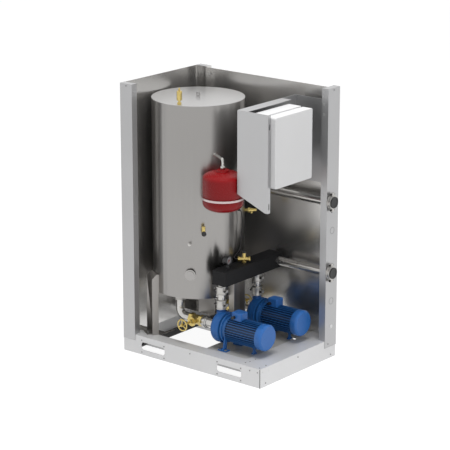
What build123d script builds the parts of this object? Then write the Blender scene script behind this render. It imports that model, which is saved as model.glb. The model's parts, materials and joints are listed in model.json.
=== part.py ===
# Hydronic pump module: an open sheet-metal skid with a buffer tank, an expansion vessel,
# a twin pump set, an insulated header, two outgoing pipes and a control cabinet.
# Millimetres, +Z up, X along the long front side, Y into the depth. The origin is on the
# floor, in the middle of the box round the whole module.
from build123d import *
import os
from math import atan2, cos, degrees, hypot, radians, sin

os.makedirs("parts", exist_ok=True)

# Skid
X0, X1 = -621.0, 579.0          # left and right faces of the base
HALF_Y = 415.0                  # front and back faces of the base, either side of the middle
BASE_H = 133.0                  # height of the base, a usual skid with fork slots
SHEET = 3.0                     # base and post sheet
WALL = 2.0                      # wall sheet
POST_TOP = 1886.0
INNER_Y = 315.0                 # where the front rail's top ends, just past the tank's foot
LIP_BOTTOM = 110.0              # lower edge of the down-turned lips
FOOT_FLANGE = 60.0              # bottom flanges that stand on the floor
SLOT_X = (-356.0, 314.0)        # middles of the fork slots
SLOT_W, SLOT_H, SLOT_Z, SLOT_R = 210.0, 54.0, 65.0, 20.0
END_PLATE_X = 384.0             # inner edge of the right end's top
DECK_X0 = 33.0                  # left edge of the pump deck
DECK_SEAM = 207.0
DECK_GAP = 0.5                  # half of the gap between the two deck plates
DECK_TOP = BASE_H - SHEET
MEMBER_LOW = 95.0               # lowest edge of deck and cross member, above the forks
MEMBER_X = (-398.0, -368.0)
WALL_Y = HALF_Y - 5.0           # inner face of the back wall
WALL_LOW = 100.0
BACK_WALL_TOP = POST_TOP - 16.0
POST_DEPTH = 50.0
POST_LIP = 12.0

# Tank
TX, TY, TR = -283.0, -10.0, 316.0
TANK_Z0, TANK_Z1 = 438.0, 1771.0
TANK_WALL = 3.0
LEG_TOP, LEG_DEPTH, LEG_HALF_W, LEG_SHEET = 565.0, 46.0, 60.0, 5.0
FOOT_OUT, FOOT_BOLT_R, FOOT_HALF_W, FOOT_T = 76.0, 54.0, 40.0, 6.0

# Expansion vessel
VX, VY, VR = 120.0, -239.0, 137.0
VZ0, VZ_RING, VZ_SHOULDER, VZ_DOME = 1090.0, 1186.0, 1310.0, 1360.0
VESSEL_WALL = 2.0
V_PIPE_Z, V_PIPE_R, V_BEND = 1442.0, 10.0, 26.0

# Header and pipes
HX, HZ, HR = 80.0, 620.0, 38.05
PIPE_Y, PIPE_R, PIPE_WALL = HALF_Y - 89.0, 30.15, 2.9
BOX_X, BOX_Y, BOX_Z = (35.0, 149.0), (-248.0, PIPE_Y + 46.0), (HZ - 52.0, HZ + 48.0)
UPPER_Z = 1114.0
PIPE_END = 603.0
RISER_X, RISER_R, RISER_WALL = 68.0, 24.15, 2.6

# Pumps
PY, PZ = 194.0, 265.0
SHAFT_R, BEARING_GAP = 12.0, 0.05
VOLUTE_R, MOTOR_R, FIN_R, COVER_R = 107.0, 76.0, 88.0, 90.0
SUCTION_X, VALVE_X = -299.0, -145.0
WHEEL_Y = 156.0                 # handwheel's distance out from the pump axis
PUMP_FOOT_T = 8.0
PUMP_FLANGE_X = 32.0
SUCTION_JOINT_Z = TANK_Z0 - 30.0    # middles of the grooved couplings on upright pipes
LOWER_JOINT_Z, UPPER_JOINT_Z = PZ + 154.5, BOX_Z[0] - 48.5
SIDES = (-1, 1)                 # near pump, far pump

# Cabinet
PLATE_X, PLATE_Y = 264.0, -268.0
RACK_SHEET = 3.0
RACK_TOP = 1799.0
CAB_X = (359.0, 459.0, 481.0, 554.0)   # body's back and front, door's back and front
CAB_Y, CAB_Z = (-238.0, 156.0), (1308.0, 1780.0)
DOOR_R = 12.0
HINGE_R, HINGE_GAP = 5.0, 0.06

TURN = {"x": (0, 90, 0), "y": (90, 0, 0), "z": (0, 0, 0)}


def slab(x0, x1, y0, y1, z0, z1, mode=Mode.ADD):
    """A box given by its six faces."""
    with Locations(((x0 + x1) / 2, (y0 + y1) / 2, (z0 + z1) / 2)):
        Box(x1 - x0, y1 - y0, z1 - z0, mode=mode)


def rod(along, a0, a1, centre, r, mode=Mode.ADD):
    """A cylinder from a0 to a1 along one axis; centre holds its other two coordinates."""
    mid = (a0 + a1) / 2
    u, v = centre
    place = {"x": (mid, u, v), "y": (u, mid, v), "z": (u, v, mid)}[along]
    with Locations(place):
        Cylinder(r, a1 - a0, rotation=TURN[along], mode=mode)


def hexagon(along, a0, a1, centre, r):
    """A hexagonal bar from a0 to a1 along one axis."""
    u, v = centre
    base = {"x": Plane((a0, u, v), x_dir=(0, 1, 0), z_dir=(1, 0, 0)),
            "y": Plane((u, a0, v), x_dir=(1, 0, 0), z_dir=(0, 1, 0)),
            "z": Plane((u, v, a0))}[along]
    with BuildSketch(base) as outline:
        RegularPolygon(r, 6)
    extrude(outline.sketch, amount=a1 - a0)


def tank_frame(angle, z):
    """A place on the tank's skin, with its Z pointing straight out."""
    a = radians(angle)
    spot = (TX + TR * cos(a), TY + TR * sin(a), z)
    return Plane(spot, x_dir=(-sin(a), cos(a), 0), z_dir=(cos(a), sin(a), 0))


def stub(plane, z0, z1, r, at=(0, 0), mode=Mode.ADD):
    """A round boss on a plane, from z0 to z1 above it."""
    with BuildSketch(plane.offset(z0)) as outline:
        with Locations(at):
            Circle(r)
    extrude(outline.sketch, amount=z1 - z0, mode=mode)


# Places of the small screws: each is an outward axis and a point on the sheet's face
SCREW_R, SCREW_HEAD_R, SCREW_HEAD = 2.5, 4.5, 2.2
SLOT_SCREW_INSET = 4.0
SCREW_FIT = 0.1
FRONT_SCREWS = [(x + s * (SLOT_W / 2 - SLOT_SCREW_INSET), z)
                for x in SLOT_X for s in (-1, 1) for z in (19.0, 104.0)]
FRONT_SCREWS += [(-24.0, 106.0), (491.0, 107.0), (556.0, 107.0)]
END_SCREWS = [(-8.0, 107.0), (56.0 - HALF_Y, 24.0), (HALF_Y - 54.0, 22.0)]
TOP_SCREWS = [(558.0, 87.0 - HALF_Y), (558.0, 19.0 - HALF_Y), (421.0, 43.0 - HALF_Y), (431.0, 78.0 - HALF_Y)]
END_TOP_SCREW = (432.0, 34.0 - INNER_Y)
PANEL_HOLES = [(24.0 - HALF_Y, 106.5), (89.0 - HALF_Y, 106.5)]
PANEL_HOLE_R = 3.3
POST_SCREWS = [(HALF_Y - 64.0, POST_TOP - 15.0), (PIPE_Y, 107.0)]
PUMP_BOLT_X, PUMP_BOLT_Y, PUMP_BOLT_R = (131.0, 181.0), 92.0, 5.0
FRONT_POST_SCREW = (X0 + 54.0, POST_TOP - 15.0)


def screw_holes():
    """The screws' holes, cut from whichever sheet is being built."""
    r = SCREW_R + SCREW_FIT
    for x, z in FRONT_SCREWS:
        rod("y", -HALF_Y - 1, -HALF_Y + SHEET + 1, (x, z), r, Mode.SUBTRACT)


def fork_slots(y0, y1):
    """Two round-ended slots for fork-lift arms through one rail's web."""
    with BuildSketch(Plane.XZ.offset(-y1)) as outline:
        for x in SLOT_X:
            with Locations((x, SLOT_Z)):
                RectangleRounded(SLOT_W, SLOT_H, SLOT_R)
    extrude(outline.sketch, amount=y1 - y0, mode=Mode.SUBTRACT)


def foot_bolt_spot(angle):
    a = radians(angle)
    reach = TR + FOOT_BOLT_R
    return TX + reach * cos(a), TY + reach * sin(a)


LEGS = ((0, DECK_TOP), (120, BASE_H), (240, BASE_H))   # angle, height of what it stands on
FOOT_HOLE_R, FOOT_SHANK_R = 6.2, 6.0


def foot_hole(angle, z0, z1):
    rod("z", z0, z1, foot_bolt_spot(angle), FOOT_HOLE_R, Mode.SUBTRACT)


def pump_bolts():
    """Places of the bolts that hold the two front pump feet to the deck."""
    return [(x, side * PY + s * PUMP_BOLT_Y) for side in SIDES for x in PUMP_BOLT_X for s in (-1, 1)]


# Base
with BuildPart() as front_rail:
    end = X1 - SHEET
    slab(X0, end, -HALF_Y, -HALF_Y + SHEET, 0, BASE_H)
    slab(X0 + SHEET, end, -HALF_Y, -INNER_Y, DECK_TOP, BASE_H)
    slab(X0, end, -HALF_Y, -HALF_Y + FOOT_FLANGE, 0, SHEET)
    slab(X0 + SHEET, end, -INNER_Y - SHEET, -INNER_Y, LIP_BOTTOM, BASE_H)
    fork_slots(-HALF_Y - 1, -HALF_Y + SHEET + 1)
    screw_holes()
    for spot in TOP_SCREWS:
        rod("z", DECK_TOP - 1, BASE_H + 1, spot, SCREW_R + SCREW_FIT, Mode.SUBTRACT)
    foot_hole(240, DECK_TOP - 1, BASE_H + 1)
front_rail.part.label = "front_rail"
export_step(front_rail.part, "parts/front_rail.step")

with BuildPart() as back_rail:
    slab(X0, X1 - SHEET, HALF_Y - SHEET, HALF_Y, 0, BASE_H)
    slab(X0, X1 - SHEET, HALF_Y - FOOT_FLANGE, HALF_Y, 0, SHEET)
    fork_slots(HALF_Y - SHEET - 1, HALF_Y + 1)
back_rail.part.label = "back_rail"
export_step(back_rail.part, "parts/back_rail.step")

with BuildPart() as left_rail:
    slab(X0, X0 + SHEET, -HALF_Y + SHEET, HALF_Y - SHEET, SHEET, BASE_H)
    inner = HALF_Y - FOOT_FLANGE
    slab(X0, X0 + FOOT_FLANGE, -inner, inner, 0, SHEET)
left_rail.part.label = "left_rail"
export_step(left_rail.part, "parts/left_rail.step")

NOTCH_Y, NOTCH_X = (186.0, 227.0), (360.0, 398.0)   # cable notch between deck and end plate
CORNER_R = 30.0
with BuildPart() as right_rail:
    slab(X1 - SHEET, X1, -HALF_Y, HALF_Y, 0, BASE_H)
    slab(END_PLATE_X, X1, -INNER_Y, WALL_Y, DECK_TOP, BASE_H)
    slab(END_PLATE_X, END_PLATE_X + SHEET, -INNER_Y, WALL_Y, LIP_BOTTOM, BASE_H)
    inner = HALF_Y - FOOT_FLANGE
    slab(X1 - FOOT_FLANGE, X1, -inner, inner, 0, SHEET)
    edge = END_PLATE_X - CORNER_R
    slab(edge, END_PLATE_X, -INNER_Y, -INNER_Y + CORNER_R, DECK_TOP, BASE_H)
    rod("z", DECK_TOP - 1, BASE_H + 1, (edge, -INNER_Y + CORNER_R), CORNER_R, Mode.SUBTRACT)
    slab(END_PLATE_X - 1, NOTCH_X[1], *NOTCH_Y, LIP_BOTTOM - 1, BASE_H + 1, Mode.SUBTRACT)
    hole = SCREW_R + SCREW_FIT
    for y, z in END_SCREWS:
        rod("x", X1 - SHEET - 1, X1 + 1, (y, z), hole, Mode.SUBTRACT)
    for y, z in PANEL_HOLES:
        rod("x", X1 - SHEET - 1, X1 + 1, (y, z), PANEL_HOLE_R, Mode.SUBTRACT)
    rod("x", X1 - SHEET - 1, X1 + 1, POST_SCREWS[1], hole, Mode.SUBTRACT)
    rod("z", DECK_TOP - 1, BASE_H + 1, END_TOP_SCREW, hole, Mode.SUBTRACT)
right_rail.part.label = "right_rail"
export_step(right_rail.part, "parts/right_rail.step")

REST_FRONT, REST_BACK = -240.0, 236.0
with BuildPart() as cross_member:
    slab(MEMBER_X[1] - SHEET, MEMBER_X[1], -INNER_Y, WALL_Y, MEMBER_LOW, BASE_H)
    slab(*MEMBER_X, -INNER_Y, WALL_Y, DECK_TOP, BASE_H)
    for y0, y1 in ((-INNER_Y, REST_FRONT), (REST_BACK, WALL_Y)):
        slab(X0 + SHEET + WALL, MEMBER_X[0], y0, y1, DECK_TOP, BASE_H)
    foot_hole(120, DECK_TOP - 1, BASE_H + 1)
    foot_hole(240, DECK_TOP - 1, BASE_H + 1)
cross_member.part.label = "cross_member"
export_step(cross_member.part, "parts/cross_member.step")

GUIDE_Y, GUIDE_H, GUIDE_T = 254.0, 25.0, 6.0
with BuildPart() as fork_guides:
    for s in (-1, 1):
        y = s * GUIDE_Y
        slab(X0 + SHEET, X1 - SHEET, y - GUIDE_T / 2, y + GUIDE_T / 2, SHEET, GUIDE_H)
fork_guides.part.label = "fork_guides"
export_step(fork_guides.part, "parts/fork_guides.step")

JOIST_HALF = 14.0
with BuildPart() as pump_deck:
    seam = (DECK_SEAM - DECK_GAP, DECK_SEAM + DECK_GAP)
    for x0, x1 in ((DECK_X0, seam[0]), (seam[1], END_PLATE_X)):
        slab(x0, x1, -INNER_Y, WALL_Y, DECK_TOP - SHEET, DECK_TOP)
        for y in (-INNER_Y, WALL_Y - SHEET):
            slab(x0, x1, y, y + SHEET, MEMBER_LOW, DECK_TOP)
    for x in (DECK_X0, END_PLATE_X - SHEET):
        slab(x, x + SHEET, -INNER_Y, WALL_Y, MEMBER_LOW, DECK_TOP)
    slab(NOTCH_X[0], END_PLATE_X + 1, *NOTCH_Y, MEMBER_LOW - 1, DECK_TOP + 1, Mode.SUBTRACT)
    foot_hole(0, DECK_TOP - SHEET - 1, DECK_TOP + 1)
    for x, y in pump_bolts():
        rod("z", DECK_TOP - SHEET - 1, DECK_TOP + 1, (x, y), PUMP_BOLT_R + SCREW_FIT, Mode.SUBTRACT)
    y0, y1, top = -INNER_Y + SHEET, WALL_Y - SHEET, DECK_TOP - SHEET
    x0, x1 = DECK_SEAM - JOIST_HALF, DECK_SEAM + JOIST_HALF
    slab(x0, x1, y0, y1, top - SHEET, top)
    for x in (x0, x1 - SHEET):
        slab(x, x + SHEET, y0, y1, MEMBER_LOW, top)
pump_deck.part.label = "pump_deck"
export_step(pump_deck.part, "parts/pump_deck.step")

# Posts: lipped channels that lap the outside of the base
POST_LOW_FRONT, POST_LOW_BACK = 92.0, 82.0
FL_W, BL_W, BR_W = 105.0, 100.0, 128.0
with BuildPart() as front_left_post:
    y0, y1 = -HALF_Y - SHEET, -HALF_Y + POST_DEPTH - SHEET
    x1 = X0 + FL_W
    slab(X0, x1, y0, -HALF_Y, POST_LOW_FRONT, POST_TOP)
    for x in (X0, x1 - SHEET):
        slab(x, x + SHEET, y0, y1, BASE_H, POST_TOP)
    slab(X0, X0 + POST_LIP, y1 - SHEET, y1, BASE_H, POST_TOP)
    slab(x1 - POST_LIP, x1, y1 - SHEET, y1, BASE_H, POST_TOP)
    rod("y", y0 - 1, -HALF_Y + 1, FRONT_POST_SCREW, SCREW_R + SCREW_FIT, Mode.SUBTRACT)
front_left_post.part.label = "front_left_post"
export_step(front_left_post.part, "parts/front_left_post.step")

with BuildPart() as back_left_post:
    y0, y1 = HALF_Y - POST_DEPTH + SHEET, HALF_Y + SHEET
    x1 = X0 + BL_W
    slab(X0, x1, HALF_Y, y1, POST_LOW_BACK, POST_TOP)
    for x in (X0, x1 - SHEET):
        slab(x, x + SHEET, y0, y1, BASE_H, POST_TOP)
    slab(X0, X0 + POST_LIP, y0, y0 + SHEET, BASE_H, POST_TOP)
    slab(x1 - POST_LIP, x1, y0, y0 + SHEET, BASE_H, POST_TOP)
back_left_post.part.label = "back_left_post"
export_step(back_left_post.part, "parts/back_left_post.step")

PIPE_HOLE_R = 32.0
with BuildPart() as back_right_post:
    y1 = HALF_Y + SHEET
    y0 = y1 - BR_W
    x0, x1 = X1 + SHEET - POST_DEPTH - SHEET, X1 + SHEET
    slab(X1, x1, y0, y1, POST_LOW_BACK, POST_TOP)
    slab(x0, x1, y0, y0 + SHEET, BASE_H, POST_TOP)
    slab(x0, x1, HALF_Y, y1, BASE_H, POST_TOP)
    slab(x0, x0 + SHEET, y0, y0 + POST_LIP, BASE_H, POST_TOP)
    slab(x0, x0 + SHEET, y1 - POST_LIP, y1, BASE_H, POST_TOP)
    for z in (HZ, UPPER_Z):
        rod("x", x0 - 1, x1 + 1, (PIPE_Y, z), PIPE_HOLE_R, Mode.SUBTRACT)
    for spot in POST_SCREWS:
        rod("x", X1 - 1, x1 + 1, spot, SCREW_R + SCREW_FIT, Mode.SUBTRACT)
back_right_post.part.label = "back_right_post"
export_step(back_right_post.part, "parts/back_right_post.step")

# Walls
with BuildPart() as left_wall:
    reach = HALF_Y - POST_DEPTH + SHEET
    x0, x1 = X0 + SHEET, X0 + SHEET + WALL
    slab(x0, x1, -reach, reach, WALL_LOW, POST_TOP)
    slab(x0 - 1, x1 + 1, -reach - 1, -INNER_Y, WALL_LOW - 1, BASE_H, Mode.SUBTRACT)
left_wall.part.label = "left_wall"
export_step(left_wall.part, "parts/left_wall.step")

with BuildPart() as back_wall:
    x0, x1 = X0 + BL_W, X1 - POST_DEPTH
    slab(x0, x1, WALL_Y, WALL_Y + WALL, WALL_LOW, BACK_WALL_TOP)
back_wall.part.label = "back_wall"
export_step(back_wall.part, "parts/back_wall.step")


def screw(plane, grip, head_r=SCREW_HEAD_R, head=SCREW_HEAD, shank_r=SCREW_R):
    """A flat-headed screw whose head sits on the plane."""
    stub(plane, 0, head, head_r)
    stub(plane, -grip, 0, shank_r)


WASHER_R, WASHER_T, FOOT_NUT, FOOT_HEX_R, PUMP_NUT, PUMP_HEX_R = 13.0, 2.5, 10.0, 10.0, 7.0, 9.0
with BuildPart() as fasteners:
    for x, z in FRONT_SCREWS:
        screw(Plane((x, -HALF_Y, z), x_dir=(1, 0, 0), z_dir=(0, -1, 0)), SHEET)
    x, z = FRONT_POST_SCREW
    screw(Plane((x, -HALF_Y - SHEET, z), x_dir=(1, 0, 0), z_dir=(0, -1, 0)), SHEET)
    for y, z in END_SCREWS:
        screw(Plane((X1, y, z), x_dir=(0, 1, 0), z_dir=(1, 0, 0)), SHEET)
    for y, z in POST_SCREWS:
        screw(Plane((X1 + SHEET, y, z), x_dir=(0, 1, 0), z_dir=(1, 0, 0)), SHEET)
    for x, y in [*TOP_SCREWS, END_TOP_SCREW]:
        screw(Plane((x, y, BASE_H)), SHEET)
    for angle, level in LEGS:
        x, y = foot_bolt_spot(angle)
        top, under = level + FOOT_T, level - SHEET
        rod("z", top, top + WASHER_T, (x, y), WASHER_R)
        hexagon("z", top + WASHER_T, top + WASHER_T + FOOT_NUT, (x, y), FOOT_HEX_R)
        rod("z", under - FOOT_NUT - 2, top + WASHER_T, (x, y), FOOT_SHANK_R)
        hexagon("z", under - FOOT_NUT, under, (x, y), FOOT_HEX_R)
    for x, y in pump_bolts():
        top, under = DECK_TOP + PUMP_FOOT_T, DECK_TOP - SHEET
        hexagon("z", top, top + PUMP_NUT, (x, y), PUMP_HEX_R)
        rod("z", under - PUMP_NUT, top, (x, y), PUMP_BOLT_R)
        hexagon("z", under - PUMP_NUT, under, (x, y), PUMP_HEX_R)
fasteners.part.label = "fasteners"
export_step(fasteners.part, "parts/fasteners.step")

# Tank
with BuildPart() as tank_shell:
    top = TANK_Z1 - TANK_WALL
    rod("z", TANK_Z0, top, (TX, TY), TR)
    rod("z", TANK_Z0 + TANK_WALL, top + 1, (TX, TY), TR - TANK_WALL, Mode.SUBTRACT)
    for side in SIDES:
        rod("z", TANK_Z0 - 1, TANK_Z0 + TANK_WALL + 1, (SUCTION_X, side * PY), PIPE_R, Mode.SUBTRACT)
tank_shell.part.label = "tank_shell"
export_step(tank_shell.part, "parts/tank_shell.step")

VENT_X, VENT_Y = -215.0, -284.0
with BuildPart() as tank_cover:
    rod("z", TANK_Z1 - TANK_WALL, TANK_Z1, (TX, TY), TR)
    slab(TX - 15, TX + 15, TY - 3, TY + 3, TANK_Z1, TANK_Z1 + 30)
    rod("y", TY - 4, TY + 4, (TX, TANK_Z1 + 17), 7, Mode.SUBTRACT)
tank_cover.part.label = "tank_cover"
export_step(tank_cover.part, "parts/tank_cover.step")

with BuildPart() as tank_legs:
    for angle, level in LEGS:
        a = radians(angle)
        out = Plane((TX, TY, 0), x_dir=(cos(a), sin(a), 0), z_dir=(0, 0, 1))
        with BuildSketch(out.offset(level)):
            with Locations((TR + LEG_DEPTH / 2, 0)):
                Rectangle(LEG_DEPTH, 2 * LEG_HALF_W)
            with Locations((TR + LEG_SHEET + LEG_DEPTH / 2, 0)):
                Rectangle(LEG_DEPTH, 2 * (LEG_HALF_W - LEG_SHEET), mode=Mode.SUBTRACT)
        extrude(amount=LEG_TOP - level)
        with BuildSketch(out.offset(level)):
            with Locations((TR + FOOT_OUT / 2, 0)):
                Rectangle(FOOT_OUT, 2 * FOOT_HALF_W)
        extrude(amount=FOOT_T)
        with BuildSketch(out.offset(TANK_Z0)):
            for s in (-1, 1):
                with Locations((TR - 3, s * (LEG_HALF_W - LEG_SHEET / 2))):
                    Rectangle(8, LEG_SHEET)
        extrude(amount=LEG_TOP - TANK_Z0)
        side = Plane((TX, TY, 0), x_dir=(cos(a), sin(a), 0), z_dir=(sin(a), -cos(a), 0))
        with BuildSketch(side.offset(-LEG_HALF_W - 1)):
            with BuildLine():
                edge, cut = TR + LEG_DEPTH + 1, 32.0
                Polyline((edge, LEG_TOP + 1), (edge, LEG_TOP - cut), (edge - cut - 1, LEG_TOP + 1),
                         close=True)
            make_face()
        extrude(amount=2 * LEG_HALF_W + 2, mode=Mode.SUBTRACT)
        foot_hole(angle, level - 1, level + FOOT_T + 1)
    rod("z", TANK_Z0, TANK_Z1, (TX, TY), TR, Mode.SUBTRACT)
tank_legs.part.label = "tank_legs"
export_step(tank_legs.part, "parts/tank_legs.step")

PORT_A, PORT_Z, PORT_R = -60.2, 611.0, 37.5
with BuildPart() as port_cover:
    at = tank_frame(PORT_A, PORT_Z)
    stub(at, -8, 10, PORT_R - 9)
    stub(at, 6, 13, PORT_R)
    stub(at, 13, 17, PORT_R - 10)
    rod("z", TANK_Z0, TANK_Z1, (TX, TY), TR, Mode.SUBTRACT)
port_cover.part.label = "port_cover"
export_step(port_cover.part, "parts/port_cover.step")

with BuildPart() as sensor_pocket:
    at = tank_frame(-60.9, 826.0)
    stub(at, -2, 14, 11)
    stub(at, 14, 26, 7)
    rod("z", TANK_Z0, TANK_Z1, (TX, TY), TR, Mode.SUBTRACT)
sensor_pocket.part.label = "sensor_pocket"
export_step(sensor_pocket.part, "parts/sensor_pocket.step")

VENT_HEX_TOP, VENT_FLOAT, VENT_TOP = TANK_Z1 + 14, TANK_Z1 + 29, TANK_Z1 + 91
VENT_STEM_R, CAP_RISE = 3.0, 0.4
with BuildPart() as air_vent_body:
    hexagon("z", TANK_Z1, VENT_HEX_TOP, (VENT_X, VENT_Y), 15.0)
    rod("z", VENT_HEX_TOP, VENT_FLOAT, (VENT_X, VENT_Y), 8.0)
    rod("z", VENT_FLOAT, VENT_TOP, (VENT_X, VENT_Y), 18.0)
    rod("z", VENT_TOP, VENT_TOP + 11, (VENT_X, VENT_Y), VENT_STEM_R)
air_vent_body.part.label = "air_vent_body"
export_step(air_vent_body.part, "parts/air_vent_body.step")

with BuildPart() as air_vent_cap:
    rod("z", VENT_TOP + CAP_RISE, VENT_TOP + 20, (VENT_X, VENT_Y), 6.0)
    rod("z", VENT_TOP - 1, VENT_TOP + 12, (VENT_X, VENT_Y), VENT_STEM_R + BEARING_GAP, Mode.SUBTRACT)
air_vent_cap.part.label = "air_vent_cap"
export_step(air_vent_cap.part, "parts/air_vent_cap.step")

DRAIN_A, DRAIN_Z, DRAIN_KNOB_Z, DRAIN_OUT, DRAIN_STEM_R = -44.4, 939.0, 911.0, 26.0, 4.0
with BuildPart() as drain_cock_body:
    at = tank_frame(DRAIN_A, DRAIN_Z)
    stub(at, -2, 22, 9)
    a = radians(DRAIN_A)
    x, y = TX + (TR + DRAIN_OUT) * cos(a), TY + (TR + DRAIN_OUT) * sin(a)
    rod("z", DRAIN_KNOB_Z - 18, DRAIN_Z + 18, (x, y), 12.0)
    low = tank_frame(DRAIN_A, DRAIN_KNOB_Z)
    stub(low, DRAIN_OUT, 46, DRAIN_STEM_R)
    rod("z", TANK_Z0, TANK_Z1, (TX, TY), TR, Mode.SUBTRACT)
drain_cock_body.part.label = "drain_cock_body"
export_step(drain_cock_body.part, "parts/drain_cock_body.step")

with BuildPart() as drain_knob:
    low = tank_frame(DRAIN_A, DRAIN_KNOB_Z)
    stub(low, 38.5, 54, 16)
    stub(low, 38, 47, DRAIN_STEM_R + BEARING_GAP, mode=Mode.SUBTRACT)
drain_knob.part.label = "drain_knob"
export_step(drain_knob.part, "parts/drain_knob.step")

# Expansion vessel: two pressed halves clamped at the ring
V_PLANE = Plane((VX, VY, 0), x_dir=(1, 0, 0), z_dir=(0, -1, 0))
V_AXIS = Axis((VX, VY, 0), (0, 0, 1))
with BuildPart() as vessel_upper_shell:
    for inset, mode in ((0, Mode.ADD), (VESSEL_WALL, Mode.SUBTRACT)):
        r, low, top = VR - inset, VZ_RING + 0.5 - inset, VZ_DOME - inset
        with BuildSketch(V_PLANE):
            with BuildLine():
                Line((0, low), (r, low))
                Line((r, low), (r, VZ_SHOULDER))
                Spline((r, VZ_SHOULDER), (r * 0.8, VZ_SHOULDER + 0.72 * (top - VZ_SHOULDER)), (0, top),
                       tangents=((0, 1), (-1, 0)))
                Line((0, top), (0, low))
            make_face()
        revolve(axis=V_AXIS, mode=mode)
    rod("z", VZ_DOME - 4, VZ_DOME + 12, (VX, VY), 42.0)
    rod("z", VZ_DOME + 12, VZ_DOME + 24, (VX, VY), 13.0)
    rod("z", VZ_DOME - 10, VZ_DOME + 30, (VX, VY), 7.0, Mode.SUBTRACT)
vessel_upper_shell.part.label = "vessel_upper_shell"
export_step(vessel_upper_shell.part, "parts/vessel_upper_shell.step")

with BuildPart() as vessel_lower_shell:
    for inset, mode in ((0, Mode.ADD), (VESSEL_WALL, Mode.SUBTRACT)):
        r, top, low = VR - inset, VZ_RING - 0.5 + inset, VZ0 + inset
        with BuildSketch(V_PLANE):
            with BuildLine():
                Line((0, top), (r, top))
                Line((r, top), (r, top - 28))
                Spline((r, top - 28), (r * 0.75, low + 18), (0, low), tangents=((0, -1), (-1, 0)))
                Line((0, low), (0, top))
            make_face()
        revolve(axis=V_AXIS, mode=mode)
vessel_lower_shell.part.label = "vessel_lower_shell"
export_step(vessel_lower_shell.part, "parts/vessel_lower_shell.step")

with BuildPart() as vessel_diaphragm:
    rod("z", VZ_RING - 0.5, VZ_RING + 0.5, (VX, VY), VR)
vessel_diaphragm.part.label = "vessel_diaphragm"
export_step(vessel_diaphragm.part, "parts/vessel_diaphragm.step")

V_ANGLE = degrees(atan2(VY - TY, VX - TX))
V_REACH = hypot(VX - TX, VY - TY)    # from the tank's axis to the vessel's
NECK_TOP_Z = VZ_DOME + 24.0
RING_R = VR + 7.0
with BuildPart() as vessel_clamp_ring:
    rod("z", VZ_RING - 7, VZ_RING + 7, (VX, VY), RING_R)
    rod("z", VZ_RING - 8, VZ_RING + 8, (VX, VY), VR, Mode.SUBTRACT)
    ear = tank_frame(V_ANGLE, VZ_RING)
    with BuildSketch(ear.offset(-2)):
        Rectangle(60, 44)
    extrude(amount=9)
    rod("z", VZ_RING - 30, VZ_RING + 30, (VX, VY), VR, Mode.SUBTRACT)
    rod("z", TANK_Z0, TANK_Z1, (TX, TY), TR, Mode.SUBTRACT)
vessel_clamp_ring.part.label = "vessel_clamp_ring"
export_step(vessel_clamp_ring.part, "parts/vessel_clamp_ring.step")

with BuildPart() as vessel_pipe:
    start = tank_frame(V_ANGLE, V_PIPE_Z)
    out = start.z_dir
    p0 = start.origin
    reach = V_REACH - TR
    p1 = p0 + out * (reach - V_BEND)
    corner = p0 + out * reach
    p2 = corner - Vector(0, 0, V_BEND)
    p3 = Vector(corner.X, corner.Y, NECK_TOP_Z)
    with BuildLine():
        Line(p0, p1)
        bend = TangentArc(p1, p2, tangent=out)
        Line(p2, p3)
    with BuildSketch(Plane(p0, z_dir=out)):
        Circle(V_PIPE_R)
        Circle(V_PIPE_R - 1.5, mode=Mode.SUBTRACT)
    sweep()
    stub(start, 0, 12, 15)
    stub(start, -1, 13, V_PIPE_R - 1.5, mode=Mode.SUBTRACT)
    hexagon("z", NECK_TOP_Z, NECK_TOP_Z + 14, (corner.X, corner.Y), 17.0)
    rod("z", NECK_TOP_Z - 1, NECK_TOP_Z + 15, (corner.X, corner.Y), V_PIPE_R - 1.5, Mode.SUBTRACT)
    rod("z", TANK_Z0, TANK_Z1, (TX, TY), TR, Mode.SUBTRACT)
vessel_pipe.part.label = "vessel_pipe"
export_step(vessel_pipe.part, "parts/vessel_pipe.step")

# Small valves on the tank and the thin line down to the safety valve
FILL_A, FILL_Z = 39.3, 978.0
with BuildPart() as fill_valve:
    at = tank_frame(FILL_A, FILL_Z)
    stub(at, -3, 22, 11)
    stub(at, 20, 36, 18)
    stub(at, 36, 58, 13)
    stub(at, 58, 80, 10)
    a = radians(FILL_A)
    x, y = TX + (TR + 46) * cos(a), TY + (TR + 46) * sin(a)
    rod("z", FILL_Z - 24, FILL_Z, (x, y), 8.0)
    rod("z", TANK_Z0, TANK_Z1, (TX, TY), TR, Mode.SUBTRACT)
fill_valve.part.label = "fill_valve"
export_step(fill_valve.part, "parts/fill_valve.step")

SAFETY_X, SAFETY_Y, SAFETY_Z, RUN_ANGLE, RUN_HALF = 92.0, 20.0, BOX_Z[1] + 24.0, 39.3, 42.0
SAFETY_TOP, SAFETY_STEM_R = SAFETY_Z + 43.0, 4.0
LINE_R, LINE_A, LINE_Z = 3.5, 8.0, 1025.0


def run_frame():
    """A place at the safety valve's left end, with its Z pointing to its right end."""
    a = radians(RUN_ANGLE)
    spot = (SAFETY_X - RUN_HALF * cos(a), SAFETY_Y - RUN_HALF * sin(a), SAFETY_Z)
    return Plane(spot, x_dir=(-sin(a), cos(a), 0), z_dir=(cos(a), sin(a), 0))


with BuildPart() as sensing_line:
    start, stop = tank_frame(LINE_A, LINE_Z), run_frame()
    p0, p9 = start.origin, stop.origin
    with BuildLine():
        Spline(p0, (49, 48, LINE_Z - 40), (49, 52, LINE_Z - 129), (49, 37, SAFETY_Z + 108),
               (46, 10, SAFETY_Z + 43), p9, tangents=(start.z_dir, stop.z_dir))
    with BuildSketch(start):
        Circle(LINE_R)
    sweep()
    stub(start, 0, 10, 8)
    rod("z", TANK_Z0, TANK_Z1, (TX, TY), TR, Mode.SUBTRACT)
sensing_line.part.label = "sensing_line"
export_step(sensing_line.part, "parts/sensing_line.step")

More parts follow.
